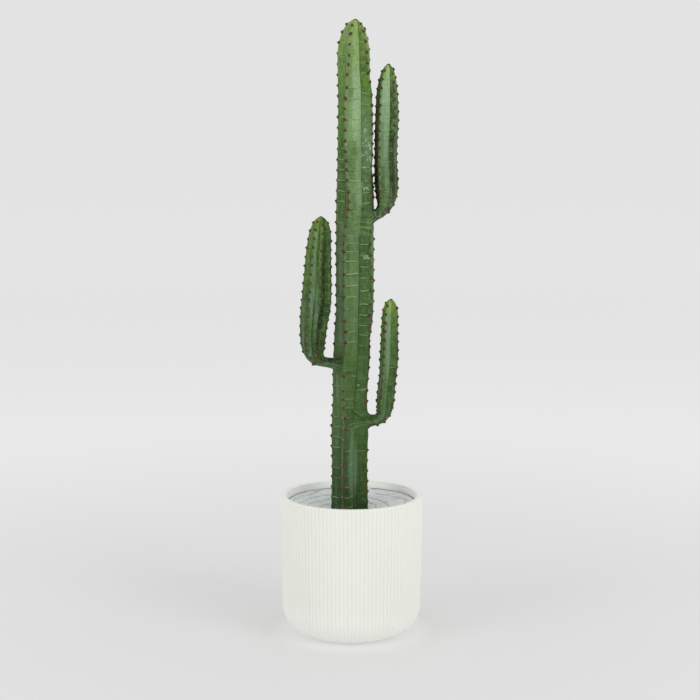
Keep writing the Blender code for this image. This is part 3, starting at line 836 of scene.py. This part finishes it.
def add_tube(name, grid, ends, material, fields, closing, flip=False, sharp=180):
    """A mesh of rings of points, whose first ring, and last if there are two ends, is closed.

    Closing holds the fields' numbers at the end points, where they aren't 0."""
    rings, points = grid.shape[:2]
    faces = tube_faces(rings, points, len(ends))
    if flip:
        faces = [face[::-1] for face in faces]
    nothing = (0.0,) * len(ends)
    whole = {key: np.append(np.broadcast_to(values, (rings, points)), closing.get(key, nothing))
             for key, values in fields.items()}
    return add_mesh(name, np.vstack((grid.reshape(-1, 3), ends)), faces, material, whole, sharp)


def add_bake_map(item, rings, points, length, girth, fans):
    """Lay the rings out in strips side by side, so that a baked picture keeps its detail.

    The fans that close the ends lie in rows along the lower edge."""
    strips = max(1, round((length / girth) ** 0.5))
    bands = rings - 1
    a_strip = -(-bands // strips)
    band = np.repeat(np.arange(bands), points)
    step = np.tile(np.arange(points), bands)
    strip = band // a_strip
    floor = 0.030
    margin = 0.004
    fan_pitch = 0.012
    fan_height = 0.008
    quads = []
    for down, across in ((0, 0), (1, 0), (1, 1), (0, 1)):
        u = (strip + margin + (1 - 2 * margin) * (step + across) / points) / strips
        v = floor + margin + (1 - floor - 2 * margin) * (band - strip * a_strip + down) / a_strip
        quads.append(np.stack((u, v), axis=-1))
    maps = [np.stack(quads, axis=1).reshape(-1, 2)]
    for row in range(fans):
        low = margin + fan_pitch * row
        triangles = []
        for across, height in ((0.0, 0.0), (1.0, 0.0), (0.5, fan_height)):
            u = (np.arange(points) + across) / points
            triangles.append(np.stack((u, np.full(points, low + height)), axis=-1))
        maps.append(np.stack(triangles, axis=1).reshape(-1, 2))
    layer = item.data.uv_layers.new(name="OFBake")
    layer.data.foreach_set("uv", np.vstack(maps).astype(np.float32).ravel())


def unevenness(points, relief):
    """A slow noise along the way out from the pot's axis."""
    places = points.reshape(-1, 3) * (UNEVEN_SCALE * np.array((1.0, 1.0, UNEVEN_STRETCH)))
    heights = [noise.noise(Vector(place)) for place in places]
    return relief * np.array(heights).reshape(points.shape[:-1])


def raise_skin(points, amount):
    """Move the rings' points out from their own middles."""
    middle = points.mean(axis=1, keepdims=True)
    out = points - middle
    reach = np.linalg.norm(out, axis=-1, keepdims=True)
    return points + out / np.maximum(reach, 1e-6) * np.minimum(amount[..., None], RAISE_LIMIT * reach)


def tip_numbers(last):
    """Row numbers of a skin's rings: close at the tip, then a fixed count to a row."""
    tip = -1 + (np.arange(1, TIP_RINGS + 1) / TIP_RINGS) ** 2
    return np.concatenate((tip, np.arange(1, round(last * RINGS_A_ROW) + 1) / RINGS_A_ROW))


def skin_finish(look):
    paint = Paint("cactus_skin", Specular_IOR_Level=0.20)
    row, across, tone, age, plain, rugged, gleaming, net = map(paint.field, (
        "row", "across", "tone", "age", "plain", "rugged", "gleam", "net"))
    ribbed = 1 - plain
    slow = paint.noise((16, 16, 9), detail=1.0)
    mottle = paint.noise((45, 45, 26))
    patch = paint.noise((190, 190, 90), roughness=0.65)
    wrinkle = paint.noise((34, 34, 330), roughness=0.65)
    streak = paint.noise((260, 260, 12))
    fine = paint.noise((520, 520, 400), detail=2.0)
    broad = paint.noise((120, 120, 9), (3.0, 5.0, 1.0), detail=2.0)
    wave = paint.noise((70, 70, 40), detail=2.0)
    around = paint.pair(paint.field("turn_x"), paint.field("turn_y"))
    fibre = paint.noise((4.5,) * 3, (0.0,) * 3, around, roughness=0.6)
    cell = paint.chance(row.whole(), paint.field("flank"))

    # The skin's own green, by age
    base = paint.add("ShaderNodeValToRGB", {"stops": (
        (0.0, look.tip_colour), (0.34, look.young_colour), (0.68, look.body_colour),
        (1.0, look.foot_colour))}, age + mottle.swing(0.34) + cell.swing(0.10))
    vivid = (slow + patch.swing(0.5)).rise(0.46, 0.70)
    # deep: painted shade on the flanks turned away from the light, where their light value is low,
    # broken up by streaks and patches
    deep = (streak.swing(0.9) + patch.swing(0.6) - tone).rise(-0.1, 1.5)

    # Waxy bloom beside the valleys, laid on most where a flank is lit, so partly painted light, with
    # painted glints on it
    border = (across + tone.rise(1.0, 1.6) * 0.28 + streak.swing(0.55) + cell.swing(0.35)
              + patch.swing(0.3))
    lit = tone.rise(0.0, 1.3) * (1 - age.rise(0.30, 0.95) * 0.70)
    # the bloom: partly real waxy bloom, partly painted light on the lit flanks
    bloom_and_light = border.rise(0.25, 0.52).lifted(0.22) * lit * 1.25
    bloom_and_light = bloom_and_light * (slow + mottle.swing(0.5)).rise(0.34, 0.60).lifted(0.62)
    bloom_and_light = bloom_and_light * ribbed.lifted(0.5) * age.rise(0.05, 0.26).lifted(0.60)
    bloom = paint.mix(age.rise(0.10, 0.45), look.lime_colour, look.wax_colour)
    glint = (streak + fine.swing(0.5) + wrinkle.swing(0.6)).rise(0.50, 0.68)

    # Worn spots and dust, painted shade in the wrinkles, painted gloss highlights, streaks of painted
    # sheen with painted gloom beside them, and painted shade in the roots' gullies
    spots = (patch.rise(0.46, 0.62) * 0.45 + streak.rise(0.48, 0.64) * 0.34
             + fine.rise(0.48, 0.62) * 0.30)
    dust = (1 - patch).rise(0.50, 0.64) * 0.26 + (1 - streak).rise(0.54, 0.68) * 0.18
    # pleat: painted shade in the wrinkles
    pleat_shade = wrinkle.rise(0.48, 0.60) * mottle.rise(0.40, 0.62).lifted(0.35)
    pleat_shade = pleat_shade * rugged.lifted(0.3) * age.rise(0.3, 0.6).lifted(0.35)
    # gloss: painted highlights between the wrinkles
    gloss_highlight = (1 - wrinkle).rise(0.52, 0.64) * (1 - mottle).rise(0.42, 0.60)
    gleam = (broad + fine.swing(0.3)).rise(0.52, 0.66) * mottle.rise(0.40, 0.62)
    gleam = gleam * tone.rise(-0.9, -0.1) * gleaming
    gloom = (1 - broad).rise(0.52, 0.64) * gleaming
    ridge = fibre.rise(0.54, 0.66) * plain
    # gully: painted shade in the hollows between the fibres on the roots
    gully_shade = (1 - fibre).rise(0.54, 0.68) * plain

    # Wrinkles on the bends and pale creases from nub to nub, each crease's pale top partly a painted
    # highlight, with painted shade under it
    pucker = (row * 3.1 + wave * 1.6).past_whole().size().rise(0.34, 0.48)
    pucker = pucker * paint.field("bend") * mottle.rise(0.36, 0.58)
    past = (row + slow.swing(0.7) * across + wave.swing(0.24)).past_whole()
    shown = across.rise(0.06, 0.16) * across.fall(0.80, 1.0) * ribbed * paint.field("lined")
    shown = shown * (mottle + cell.swing(0.8) + fine.swing(0.4)).rise(0.32, 0.60)
    # crease: pale line, partly a painted highlight along the crease's top
    crease = past.size().fall(0.010, 0.055) * shown
    # under: painted shade just under each crease
    under = (past - 0.085).size().fall(0.020, 0.070) * shown

    # Single marks, painted shade along the valleys' folds and the crests' edges
    sheen = (paint.field("sheen") + streak.swing(0.3) + patch.swing(0.3)).rise(0.05, 0.95)
    strand = 1 - plain * 0.60 * (fibre + fine.swing(0.5)).fall(0.44, 0.60)
    # fold: painted shade along the bottom of each valley
    fold = across.rise(0.960, 1.0) * ribbed
    edge = across.fall(0.010, 0.055) * ribbed * streak.rise(0.40, 0.58)
    cracked = paint.cracks((330, 330, 210)).fall(0.02, 0.14) * net
    scar = (paint.field("scar") * 0.8 + fine.swing(2.6) + patch.swing(1.2)).rise(0.52, 0.80)
    blotch = (net * 0.42 + patch.swing(1.4) + fine.swing(1.0)).rise(0.40, 0.62)
    worn = (scar * 0.72).larger(blotch * 0.58)

    colour = paint.layers(
        base,
        (vivid * 0.60, (0.95, 1.06, 0.50), "MULTIPLY"),
        (deep, (0.28, 0.36, 0.25), "MULTIPLY"),
        (bloom_and_light, bloom),
        (glint * bloom_and_light * 0.60, (0.56, 0.70, 0.52)),
        (spots * rugged, (0.52, 0.62, 0.44), "MULTIPLY"),
        (dust * rugged, look.sap_colour),
        (pleat_shade * 0.50, (0.52, 0.60, 0.48), "MULTIPLY"),
        (gloss_highlight * rugged * 0.32, look.sap_colour),
        (gleam * 0.50, (0.21, 0.32, 0.22)),
        (gloom * 0.55, (0.60, 0.74, 0.46), "MULTIPLY"),
        (ridge * 0.40, look.wax_colour),
        (gully_shade * 0.55, (0.45, 0.54, 0.42), "MULTIPLY"),
        (pucker * 0.36, look.crease_colour),
        (under * age.rise(0.2, 0.5) * 0.45, (0.36, 0.44, 0.32), "MULTIPLY"),
        (crease * 0.78, look.crease_colour),
        (sheen * strand * 0.38, (0.20, 0.32, 0.19)),
        (paint.field("shadow") * 0.85, (0.42, 0.52, 0.40), "MULTIPLY"),
        (fold * (0.34 - age.rise(0.50, 0.72) * 0.28), (0.014, 0.032, 0.010)),
        (edge * age.rise(0.15, 0.6) * 0.50, look.edge_colour),
        (net * 0.34, (0.15, 0.24, 0.15)),
        (cracked * 0.45, (0.40, 0.48, 0.38), "MULTIPLY"),
        (worn, (0.42, 0.53, 0.40)))
    rough = 0.46 + bloom_and_light * 0.10 + fine.swing(0.16) + worn * 0.1
    relief = (crease * 0.35 - under * 0.25 - pleat_shade * 0.40 + fine * 0.12 + scar * 0.25
              + patch * 0.35 - fold * 0.5 + ridge * 0.5 - gully_shade * 0.7)
    return paint.finish(Base_Color=colour, Roughness=rough, Normal=paint.bump(relief, 0.0012))


def nub_finish(look):
    paint = Paint("nub_brown", Specular_IOR_Level=0.25)
    speck = paint.noise((700, 700, 700), detail=2.0)
    pale = (paint.field("shade") + speck.swing(0.8)).rise(0.25, 1.1)
    colour = paint.layers(
        look.colour,
        (pale, look.pale_colour),
        (paint.field("height").fall(0.26, 0.46) * 0.75, look.foot_colour),
        (paint.field("dull") * 0.60, look.dull_colour),
        (paint.field("rise").rise(0.50, 1.0) * 0.55, (0.035, 0.014, 0.010)))
    return paint.finish(Base_Color=colour, Roughness=0.46 + speck * 0.2,
                        Normal=paint.bump(speck, 0.0005))


def pot_finish(look):
    paint = Paint("pot_clay")
    groove = paint.field("groove")
    cloud = paint.noise((11, 11, 7))
    grain = paint.noise((520, 520, 520), roughness=0.6)
    run = paint.noise((160, 160, 9), detail=2.0)
    colour = paint.layers(
        look.colour,
        # painted shade deep between the reeds
        ((groove + run.swing(0.5)).rise(0.30, 1.05) * 0.55, look.groove_shade_colour),
        (cloud.rise(0.40, 0.72) * 0.30, (0.95, 0.93, 0.88), "MULTIPLY"),
        (grain.rise(0.60, 0.78) * 0.16, (0.70, 0.67, 0.58)),
        # painted light: lighter towards the pot's foot, against the shade on its lower corner
        (paint.field("height").fall(0.0, 0.08) * 0.60, (0.95, 0.96, 0.92)),
        # painted light on the wall above the filler, against the shade inside the pot
        (paint.field("inside"), look.inner_painted_light_colour))
    rough = look.roughness + grain.swing(0.18) + groove * 0.10
    return paint.finish(Base_Color=colour, Roughness=rough,
                        Normal=paint.bump(grain * 0.5 + cloud * 0.5, 0.0004))


def fill_finish(look):
    paint = Paint("fill_plaster")
    rim = paint.field("rim")
    grain = paint.noise((420, 420, 420), detail=4.0, roughness=0.65)
    cloud = paint.noise((55, 55, 55))
    warp = paint.noise((17, 17, 17))
    ripple = (rim * 8.0 + warp * 5.0 + cloud * 0.5).past_whole().size()
    # hair: thin lines of painted shade along the ripples
    hair_shade = ripple.rise(0.38, 0.50) * cloud.rise(0.40, 0.62)
    colour = paint.layers(
        look.hollow_shade_colour,
        # painted shade: darker in the hollows of the relief, lighter on its ridges
        ((paint.field("rise") + cloud.swing(0.7)).rise(-0.75, 0.35), look.colour),
        (hair_shade * 0.55, look.hollow_shade_colour),
        (grain.rise(0.58, 0.74) * 0.45, (0.88, 0.90, 0.90)),
        # painted shadow in the gap between the filler's edge and the wall
        (rim.rise(0.950, 0.985) * 0.70, (0.14, 0.155, 0.150)))
    relief = grain * 0.6 + cloud * 0.4 - hair_shade * 0.6
    return paint.finish(Base_Color=colour, Roughness=0.55 + grain.swing(0.3),
                        Normal=paint.bump(relief, 0.0009))


def floor_finish(look):
    paint = Paint("floor_paper", Roughness=1.0, Specular_IOR_Level=0.0, Emission_Strength=1.0)
    far = paint.field("far")
    colour = paint.layers(look.floor_colour, (far.rise(*FLOOR_FADE), look.far_colour),
                          (far.rise(*FLOOR_END), FLOOR_END_COLOUR))
    glow = paint.mix(far.rise(*FOOT_RING), FOOT_GLOW, FLOOR_GLOW)
    return paint.finish(Base_Color=colour, Emission_Color=glow)


def outside_radius(height):
    share = (height - CORNER_RADIUS) / (WALL_TOP - CORNER_RADIUS)
    return WALL_FOOT_RADIUS + (RIM_RADIUS - WALL_FOOT_RADIUS) * share


def wall_points(heights, inset=0.0):
    """Points of the pot's profile on its wall, this far in from its outside."""
    heights = np.array(heights)
    return np.stack((outside_radius(heights) - inset, heights), axis=-1)


def arc(middle, height, radius, angles):
    """Points of an arc in the pot's profile.  0 degrees points down and 90 outwards."""
    angles = np.radians(angles)
    return np.stack((middle + radius * np.sin(angles), height - radius * np.cos(angles)), axis=-1)


def corner_arc(inset, angles):
    return arc(WALL_FOOT_RADIUS - CORNER_RADIUS, CORNER_RADIUS, CORNER_RADIUS - inset, angles)


def round_rings(radius, height, count):
    """Rings of points round the pot's axis, for columns of radii and heights."""
    angle = 2 * pi * np.arange(count) / count
    out = radius * np.sin(angle)
    return np.stack((out, -radius * np.cos(angle), np.broadcast_to(height, out.shape)), axis=-1)


def pot_profile():
    """Radius and height from under the pot, over the lip, to inside it.

    Also the share of the reeds' depth at each point, and which points are on the inside."""
    flat = (WALL_FOOT_RADIUS - CORNER_RADIUS) * np.array(FOOT_SHARES)
    corner = np.linspace(0, 90, CORNER_STEPS)
    lip = np.linspace(90, 180, LIP_STEPS)
    lip_height = POT_HEIGHT - LIP_RADIUS
    pieces = (
        (np.stack((flat, 0 * flat), axis=-1), 0.0),
        (corner_arc(0.0, corner), smoothstep(corner, *REED_START_ANGLES)),
        (wall_points(np.linspace(*WALL_RINGS)[1:]), 1.0),
        (wall_points(np.linspace(*UPPER_RINGS)[1:]), 1.0),
        (arc(RIM_RADIUS - LIP_RADIUS, lip_height, LIP_RADIUS, lip),
         1 - smoothstep(lip, *REED_END_ANGLES)),
        (arc(RIM_RADIUS - WALL + LIP_RADIUS, lip_height, LIP_RADIUS, lip + 90), 0.0),
        (wall_points(INNER_HEIGHTS, WALL), 0.0),
        (corner_arc(WALL, np.linspace(90, 0, BOWL_STEPS)[1:]), 0.0),
    )
    profile = np.vstack([points for points, _ in pieces])
    share = np.concatenate([np.full(len(points), depth) for points, depth in pieces])
    inside = np.arange(len(profile)) >= len(profile) - len(INNER_HEIGHTS) - BOWL_STEPS
    return profile, share[:, None], inside[:, None]


def make_pot(look, material):
    profile, share, inside = pot_profile()
    points = look.reeds * REED_POINTS
    place = (np.arange(points) % REED_POINTS) / REED_POINTS
    groove = abs(2 * place - 1) ** REED_SHARPNESS * share
    grid = round_rings(profile[:, :1] - look.reed_depth * groove, profile[:, 1:], points)
    floor = profile[-1, 1]
    return add_tube("reeded_pot", grid, ((0.0, 0.0, 0.0), (0.0, 0.0, floor)), material,
                    {"groove": groove, "height": grid[..., 2], "inside": inside},
                    {"height": (0.0, floor), "inside": (0.0, 1.0)}, flip=True, sharp=40)


def fill_relief(x, y):
    """Smeared ridges that run round the stem with narrow hollows between them, from -1 to 1."""
    radius = (x * x + y * y) ** 0.5
    warp = noise.noise(Vector((8 * x, 8 * y, 0.0)))
    small = noise.noise(Vector((38 * x, 38 * y, 4.0)))
    wave = abs(sin(pi * (radius / RIDGE_PITCH + 1.6 * warp + 0.35 * small)))
    rough = noise.fractal(Vector((85 * x, 85 * y, 9.0)), 0.8, 2.0, 4)
    return 0.55 * (1 - 2 * (1 - wave) ** 2.5) + 0.5 * rough


def make_fill(look, material):
    inset = WALL + FILL_GAP
    edge = outside_radius(FILL_EDGE) - inset
    middle = STEM_FOOT - FILL_SINK
    radii = FILL_START + (edge - FILL_START) * np.linspace(0, 1, FILL_RINGS) ** FILL_CROWDING
    radii = radii[:, None]
    share = np.clip((radii - FILL_PAD_RADIUS) / (edge - FILL_PAD_RADIUS), 0.0, 1.0)
    calm = smoothstep(radii, *FILL_CALM) * (1 - 0.6 * smoothstep(share, *FILL_CALM_EDGE))
    top = round_rings(radii, 0.0, FILL_SIDES)
    relief = np.array([fill_relief(x, y) for x, y, _ in top.reshape(-1, 3)]).reshape(top.shape[:2])
    top[..., 2] = middle + (FILL_EDGE - middle) * share + look.ridge * relief * calm - FILL_GAP
    under = np.vstack((wall_points(FILL_SKIRT, inset), corner_arc(inset, FILL_CORNER)))
    grid = np.vstack((top, round_rings(under[:, :1], under[:, 1:], FILL_SIDES)))
    rise, rim = np.zeros((2, *grid.shape[:2]))
    rise[:FILL_RINGS] = relief
    rim[:FILL_RINGS] = radii / edge
    ends = ((0.0, 0.0, top[0, :, 2].mean()), (0.0, 0.0, under[-1, 1]))
    return add_tube("rippled_fill", grid, ends, material, {"rise": rise, "rim": rim}, {}, sharp=40)


def make_stem_skin(stem, arms, look, material):
    points, fields = stem.skin(tip_numbers(len(stem.rows) - 1), look)
    for arm in arms.values():
        middle, radius = root_middle(arm)
        way = points - middle
        reach = radius + max(arm.flare)
        near = 1 - smoothstep(np.linalg.norm(way, axis=-1), reach, reach + ROOT_HAZE)
        fields["plain"] = np.maximum(fields["plain"], near)
        beside = way @ arm.sideways
        around = np.maximum(np.hypot(way[..., 2], beside), 1e-6)
        for key, part in (("turn_x", -way[..., 2]), ("turn_y", beside)):
            fields[key] = np.where(near > 0, part / around, fields[key])
    mark(points, fields)
    points[:-1] = raise_skin(points, unevenness(points, look.relief))[:-1]
    item = add_tube("stem_skin", points, (stem.tip()[0], points[-1].mean(axis=0)), material,
                    fields, {"row": (-1, 0), "across": (0.5, 0.5), "age": (0, 1)})
    add_bake_map(item, *points.shape[:2], stem.length, girth=0.25, fans=2)
    return item


def blot(points, x, height, half_breadth, half_height):
    """1 in the middle of an oval on the front of the plant, fading to 0 outside it."""
    away = np.hypot((points[..., 0] - x) / half_breadth, (points[..., 2] - height) / half_height)
    return (1 - smoothstep(away, *MARK_EDGE)) * (points[..., 1] < MARK_REACH)


def mark(points, fields):
    """Scars, sheens, shadows and the patch of cracked bloom."""
    for key, ovals in MARKS.items():
        fields[key] = np.max([blot(points, *oval) for oval in ovals], axis=0)


class Surface:
    """A finished skin that other pieces can be laid against."""

    def __init__(self, item):
        mesh = item.data
        self.points = np.empty(len(mesh.vertices) * 3, np.float32)
        mesh.vertices.foreach_get("co", self.points)
        self.points = self.points.reshape(-1, 3)
        self.faces = [tuple(face.vertices) for face in mesh.polygons]
        self.tree = BVHTree.FromPolygons(self.points.tolist(), self.faces)
        self.fields = {}
        for layer in mesh.attributes:
            if layer.data_type == "FLOAT" and layer.domain == "POINT":
                values = np.empty(len(mesh.vertices), np.float32)
                layer.data.foreach_get("value", values)
                self.fields[layer.name] = values

    def meet(self, start, way):
        """Where a line from a start along a way meets the skin: place, normal and fields."""
        place, normal, face, _ = self.tree.ray_cast(Vector(start), Vector(way))
        if place is None:
            return None
        corners = list(self.faces[face])
        near = min(corners, key=lambda i: np.linalg.norm(self.points[i] - np.array(place)))
        return np.array(place), np.array(normal), {key: v[near] for key, v in self.fields.items()}


def ring_smooth(values, passes):
    """Even a closed ring of values out."""
    for _ in range(passes):
        values = (np.roll(values, 1, axis=0) + 2 * values + np.roll(values, -1, axis=0)) / 4
    return values


def root_fillet(arm, ring, surface):
    """Rings that carry an arm's last ring on to the stem and flare out over its skin."""
    middle = ring.mean(axis=0)
    body = arm.at(arm.length - FILLET_AIM)
    target = arm.outward * body[0] + np.array((0.0, 0.0, body[1]))
    way = (target - middle) / np.linalg.norm(target - middle)
    out = ring - middle
    out -= (out @ way)[:, None] * way
    out /= np.linalg.norm(out, axis=-1, keepdims=True)
    level, above, below = arm.flare
    upright = np.where(out[:, 2] > 0, above, below)
    spread = level + (upright - level) * out[:, 2] ** 2
    landings = []
    samples = []
    for point, side, width in zip(ring, out, spread):
        straight = surface.meet(point, way)
        for shrink in FILLET_SHRINKS:
            met = surface.meet(point + side * width * shrink, way)
            if met is not None and (met[0] - point) @ way < FILLET_REACH:
                break
        place, normal, fields = met
        tangent = side - normal * (side @ normal)
        tangent /= max(np.linalg.norm(tangent), 1e-6)
        reaches = ((straight[0] - point) @ way, max(width * shrink, FILLET_LEAST))
        landings.append((*(place - normal * FILLET_SINK), *tangent, *reaches))
        samples.append(fields)
    landings = np.array(landings)
    place_passes, way_passes = FILLET_PASSES
    ends = ring_smooth(landings[:, :3], place_passes)
    tangents, reaches = np.split(ring_smooth(landings[:, 3:], way_passes), (3,), axis=1)
    tangents /= np.linalg.norm(tangents, axis=-1, keepdims=True)
    lead = ring + way * FILLET_LEAD * reaches[:, :1]
    land = ends - tangents * FILLET_LAND * reaches[:, 1:]
    steps = np.linspace(0, 1, FILLET_RINGS + 1)[1:]
    q = steps[:, None, None]
    rings = ((1 - q) ** 3 * ring + 3 * (1 - q) ** 2 * q * lead
             + 3 * (1 - q) * q ** 2 * land + q ** 3 * ends)
    landed = {key: np.array([fields[key] for fields in samples]) for key in samples[0]}
    return rings, steps, landed


def root_depth(arm):
    """Depth at which an arm's spine comes back to its root distance from the pot's axis."""
    depths = np.linspace(0.5 * arm.length, arm.length, 400)
    return depths[np.argmax(arm.at(depths)[:, 0] < arm.root)]


def make_arm_skin(name, arm, surface, look, material):
    """An arm's skin from its tip round the bend, and the fillet that joins it to the stem."""
    points, fields = arm.skin(tip_numbers(float(arm.row_number(root_depth(arm)))), look)
    mark(points, fields)
    points = raise_skin(points, unevenness(points, look.relief))
    fillet, steps, landed = root_fillet(arm, points[-1], surface)
    blend = smoothstep(steps, *FILLET_BLEND)[:, None]
    for key, values in fields.items():
        fields[key] = np.vstack((values, values[-1] * (1 - blend) + landed[key] * blend))
    on_fillet = fields["plain"][len(points):]
    on_fillet[:] = np.maximum(on_fillet, ROOT_PLAIN)
    grid = np.vstack((points, fillet))
    item = add_tube(f"{name}_skin", grid, (arm.tip()[0],), material, fields,
                    {"row": (-1,), "across": (0.5,), "age": arm.ages[0][1:]})
    add_bake_map(item, *grid.shape[:2], arm.length, girth=0.12, fans=1)
    return item


def nub_template():
    """The points and faces of a nub of breadth and height 1 that stands along +Z."""
    outline = np.array(NUB_OUTLINE)
    angle = 2 * pi * np.arange(NUB_SIDES) / NUB_SIDES
    rings = np.stack((outline[:, :1] * np.cos(angle), outline[:, :1] * np.sin(angle),
                      np.repeat(outline[:, 1:], NUB_SIDES, axis=1)), axis=-1)
    points = np.vstack((rings.reshape(-1, 3), (0.0, 0.0, 1.0)))
    return points, np.append(np.tile(angle, len(outline)), 0.0), tube_faces(*rings.shape[:2], 1)


def make_nubs(name, limb, look, material, chance, keep_off=()):
    """All nubs of a limb as one mesh: blunt points on the crests, turned up a little."""
    template, turns, own_faces = nub_template()
    rise = np.clip(template[:, 2:], 0.0, 1.0)
    points = []
    faces = []
    tints = []
    tip, way = limb.tip()
    places = [(*place, 1.0, 1.0) for place in limb.crest_points()]
    for crest, uphill, out, broad, high in (*places, (tip, limb.outward, way, *TIP_NUB)):
        if any(np.linalg.norm(crest - middle) < reach for middle, reach in keep_off):
            continue
        out = out / np.linalg.norm(out)
        uphill = uphill - out * (uphill @ out)
        uphill = uphill / np.linalg.norm(uphill)
        beside = np.cross(uphill, out)
        size = chance.uniform(*NUB_SIZES) * limb.nub_size
        tall = look.height * size * chance.uniform(*NUB_HEIGHTS) * high
        wide = 0.5 * look.breadth * size * broad
        lean = (NUB_UPTURN + chance.uniform(*NUB_TURNS)) * high
        skew = chance.uniform(*NUB_SKEWS)
        ragged = 1 + NUB_RAGGED * (np.sin(2 * turns + chance.uniform(0, 6)) * 0.5
                                   + np.sin(3 * turns + chance.uniform(0, 6)) * 0.5)
        local = template * (wide * NUB_UPRIGHT, wide, tall)
        local[:, :2] *= ragged[:, None]
        start = len(points) * len(template)
        faces += [[start + i for i in face] for face in own_faces]
        points.append(crest + local @ (beside, uphill, out)
                      + rise ** NUB_CURL * wide * (lean * uphill + skew * beside))
        tints.append((chance.uniform(0.0, 1.0) ** NUB_DARKNESS,
                      read(limb.dull, crest[2]) * chance.uniform(*NUB_DULLS)))
    shade, dull = np.repeat(tints, len(template), axis=0).T
    rises = np.tile(rise[:, 0], len(points))
    points = np.vstack(points)
    return add_mesh(name, points, faces, material,
                    {"shade": shade, "dull": dull, "rise": rises, "height": points[:, 2]})


def add_lamp(name, place, power):
    data = bpy.data.lights.new(name, "AREA")
    data.size = LAMP_SIZE
    data.energy = power
    lamp = bpy.data.objects.new(name, data)
    lamp.location = place
    lamp.rotation_euler = (Vector(LAMP_AIM) - Vector(place)).to_track_quat("-Z", "Y").to_euler()
    bpy.context.collection.objects.link(lamp)


def make_floor(material):
    """A round floor so wide that its edge is lost against the sky."""
    radii = np.array(FLOOR_RADII)[:, None]
    return add_tube("floor", round_rings(radii, 0.0, FLOOR_SIDES), ((0.0, 0.0, 0.0),), material,
                    {"far": radii}, {})


def set_world(strength):
    world = bpy.data.worlds.new("studio")
    world.use_nodes = True
    sky = world.node_tree.nodes["Background"]
    sky.inputs["Color"].default_value = (1.0, 1.0, 1.0, 1.0)
    sky.inputs["Strength"].default_value = strength
    bpy.context.scene.world = world


def add_camera():
    data = bpy.data.cameras.new("camera")
    data.lens = CAMERA_LENS
    data.sensor_width = CAMERA_SENSOR
    data.clip_end = 200.0
    camera = bpy.data.objects.new("camera", data)
    camera.location = CAMERA_PLACE
    camera.rotation_euler = (radians(90 - CAMERA_DIP), 0.0, 0.0)
    bpy.context.collection.objects.link(camera)
    bpy.context.scene.camera = camera


class CACTUS_OT_pot(bpy.types.Operator):
    """Build the reeded pot"""

    bl_idname = "cactus.pot"
    bl_label = "Reeded pot"

    def execute(self, context):
        look = context.scene.cactus_pot
        pot = make_pot(look, pot_finish(look))
        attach(pot, "root")
        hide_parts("pot")
        return {"FINISHED"}


class CACTUS_OT_fill(bpy.types.Operator):
    """Build the filler that the stem stands in"""

    bl_idname = "cactus.fill"
    bl_label = "Filler"

    def execute(self, context):
        look = context.scene.cactus_fill
        fill = make_fill(look, fill_finish(look))
        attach(fill, "root")
        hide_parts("fill")
        return {"FINISHED"}


class CACTUS_OT_limbs(bpy.types.Operator):
    """Build the skin of the stem and of the arms that grow from it"""

    bl_idname = "cactus.limbs"
    bl_label = "Stem and arms"

    def execute(self, context):
        look = context.scene.cactus_skin
        material = skin_finish(look)
        stem, arms = make_limbs()
        skin = make_stem_skin(stem, arms, look, material)
        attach(skin, "root")
        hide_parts("main_stem")
        surface = Surface(skin)
        for name, arm in arms.items():
            piece = make_arm_skin(f"{name}_arm", arm, surface, look, material)
            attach(piece, "root")
            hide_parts(f"{name}_arm", f"{name}_elbow")
        return {"FINISHED"}


class CACTUS_OT_nubs(bpy.types.Operator):
    """Set the nubs on every crest"""

    bl_idname = "cactus.nubs"
    bl_label = "Nubs"

    def execute(self, context):
        look = context.scene.cactus_nubs
        material = nub_finish(look)
        chance = np.random.default_rng(look.seed)
        stem, arms = make_limbs()
        roots = [root_middle(arm) for arm in arms.values()]
        keep_off = [(middle, radius + NUB_KEEP_OFF) for middle, radius in roots]
        pieces = [make_nubs("stem_nubs", stem, look, material, chance, keep_off)]
        for name, arm in arms.items():
            pieces.append(make_nubs(f"{name}_nubs", arm, look, material, chance))
        for piece in pieces:
            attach(piece, "root")
        return {"FINISHED"}


class CACTUS_OT_studio(bpy.types.Operator):
    """Set up the floor, the lights and the camera"""

    bl_idname = "cactus.studio"
    bl_label = "Studio"

    def execute(self, context):
        look = context.scene.cactus_studio
        make_floor(floor_finish(look))
        set_world(look.sky)
        for name, place in LAMPS.items():
            add_lamp(name, place, getattr(look, name))
        add_camera()
        context.scene.view_settings.view_transform = "Standard"
        return {"FINISHED"}


class CACTUS_PT_sidebar(bpy.types.Panel):
    """Lists the pieces of the cactus"""

    bl_label = "Cactus"
    bl_idname = "CACTUS_PT_sidebar"
    bl_space_type = "VIEW_3D"
    bl_region_type = "UI"
    bl_category = "Cactus"

    def draw(self, context):
        for name, (look, operator) in SECTIONS.items():
            box = self.layout.box()
            for key in look.__annotations__:
                box.prop(getattr(context.scene, name), key)
            box.operator(operator.bl_idname)


SECTIONS = {
    "cactus_pot": (PotLook, CACTUS_OT_pot),
    "cactus_fill": (FillLook, CACTUS_OT_fill),
    "cactus_skin": (SkinLook, CACTUS_OT_limbs),
    "cactus_nubs": (NubLook, CACTUS_OT_nubs),
    "cactus_studio": (StudioLook, CACTUS_OT_studio),
}
CLASSES = (*(item for section in SECTIONS.values() for item in section), CACTUS_PT_sidebar)


def register():
    for item in CLASSES:
        bpy.utils.register_class(item)
    for name, (look, _) in SECTIONS.items():
        setattr(bpy.types.Scene, name, bpy.props.PointerProperty(type=look))


def unregister():
    for name in SECTIONS:
        delattr(bpy.types.Scene, name)
    for item in reversed(CLASSES):
        bpy.utils.unregister_class(item)


def main():
    register()
    bpy.ops.cactus.pot()
    bpy.ops.cactus.fill()
    bpy.ops.cactus.limbs()
    bpy.ops.cactus.nubs()
    bpy.ops.cactus.studio()


if __name__ == "__main__":
    main()
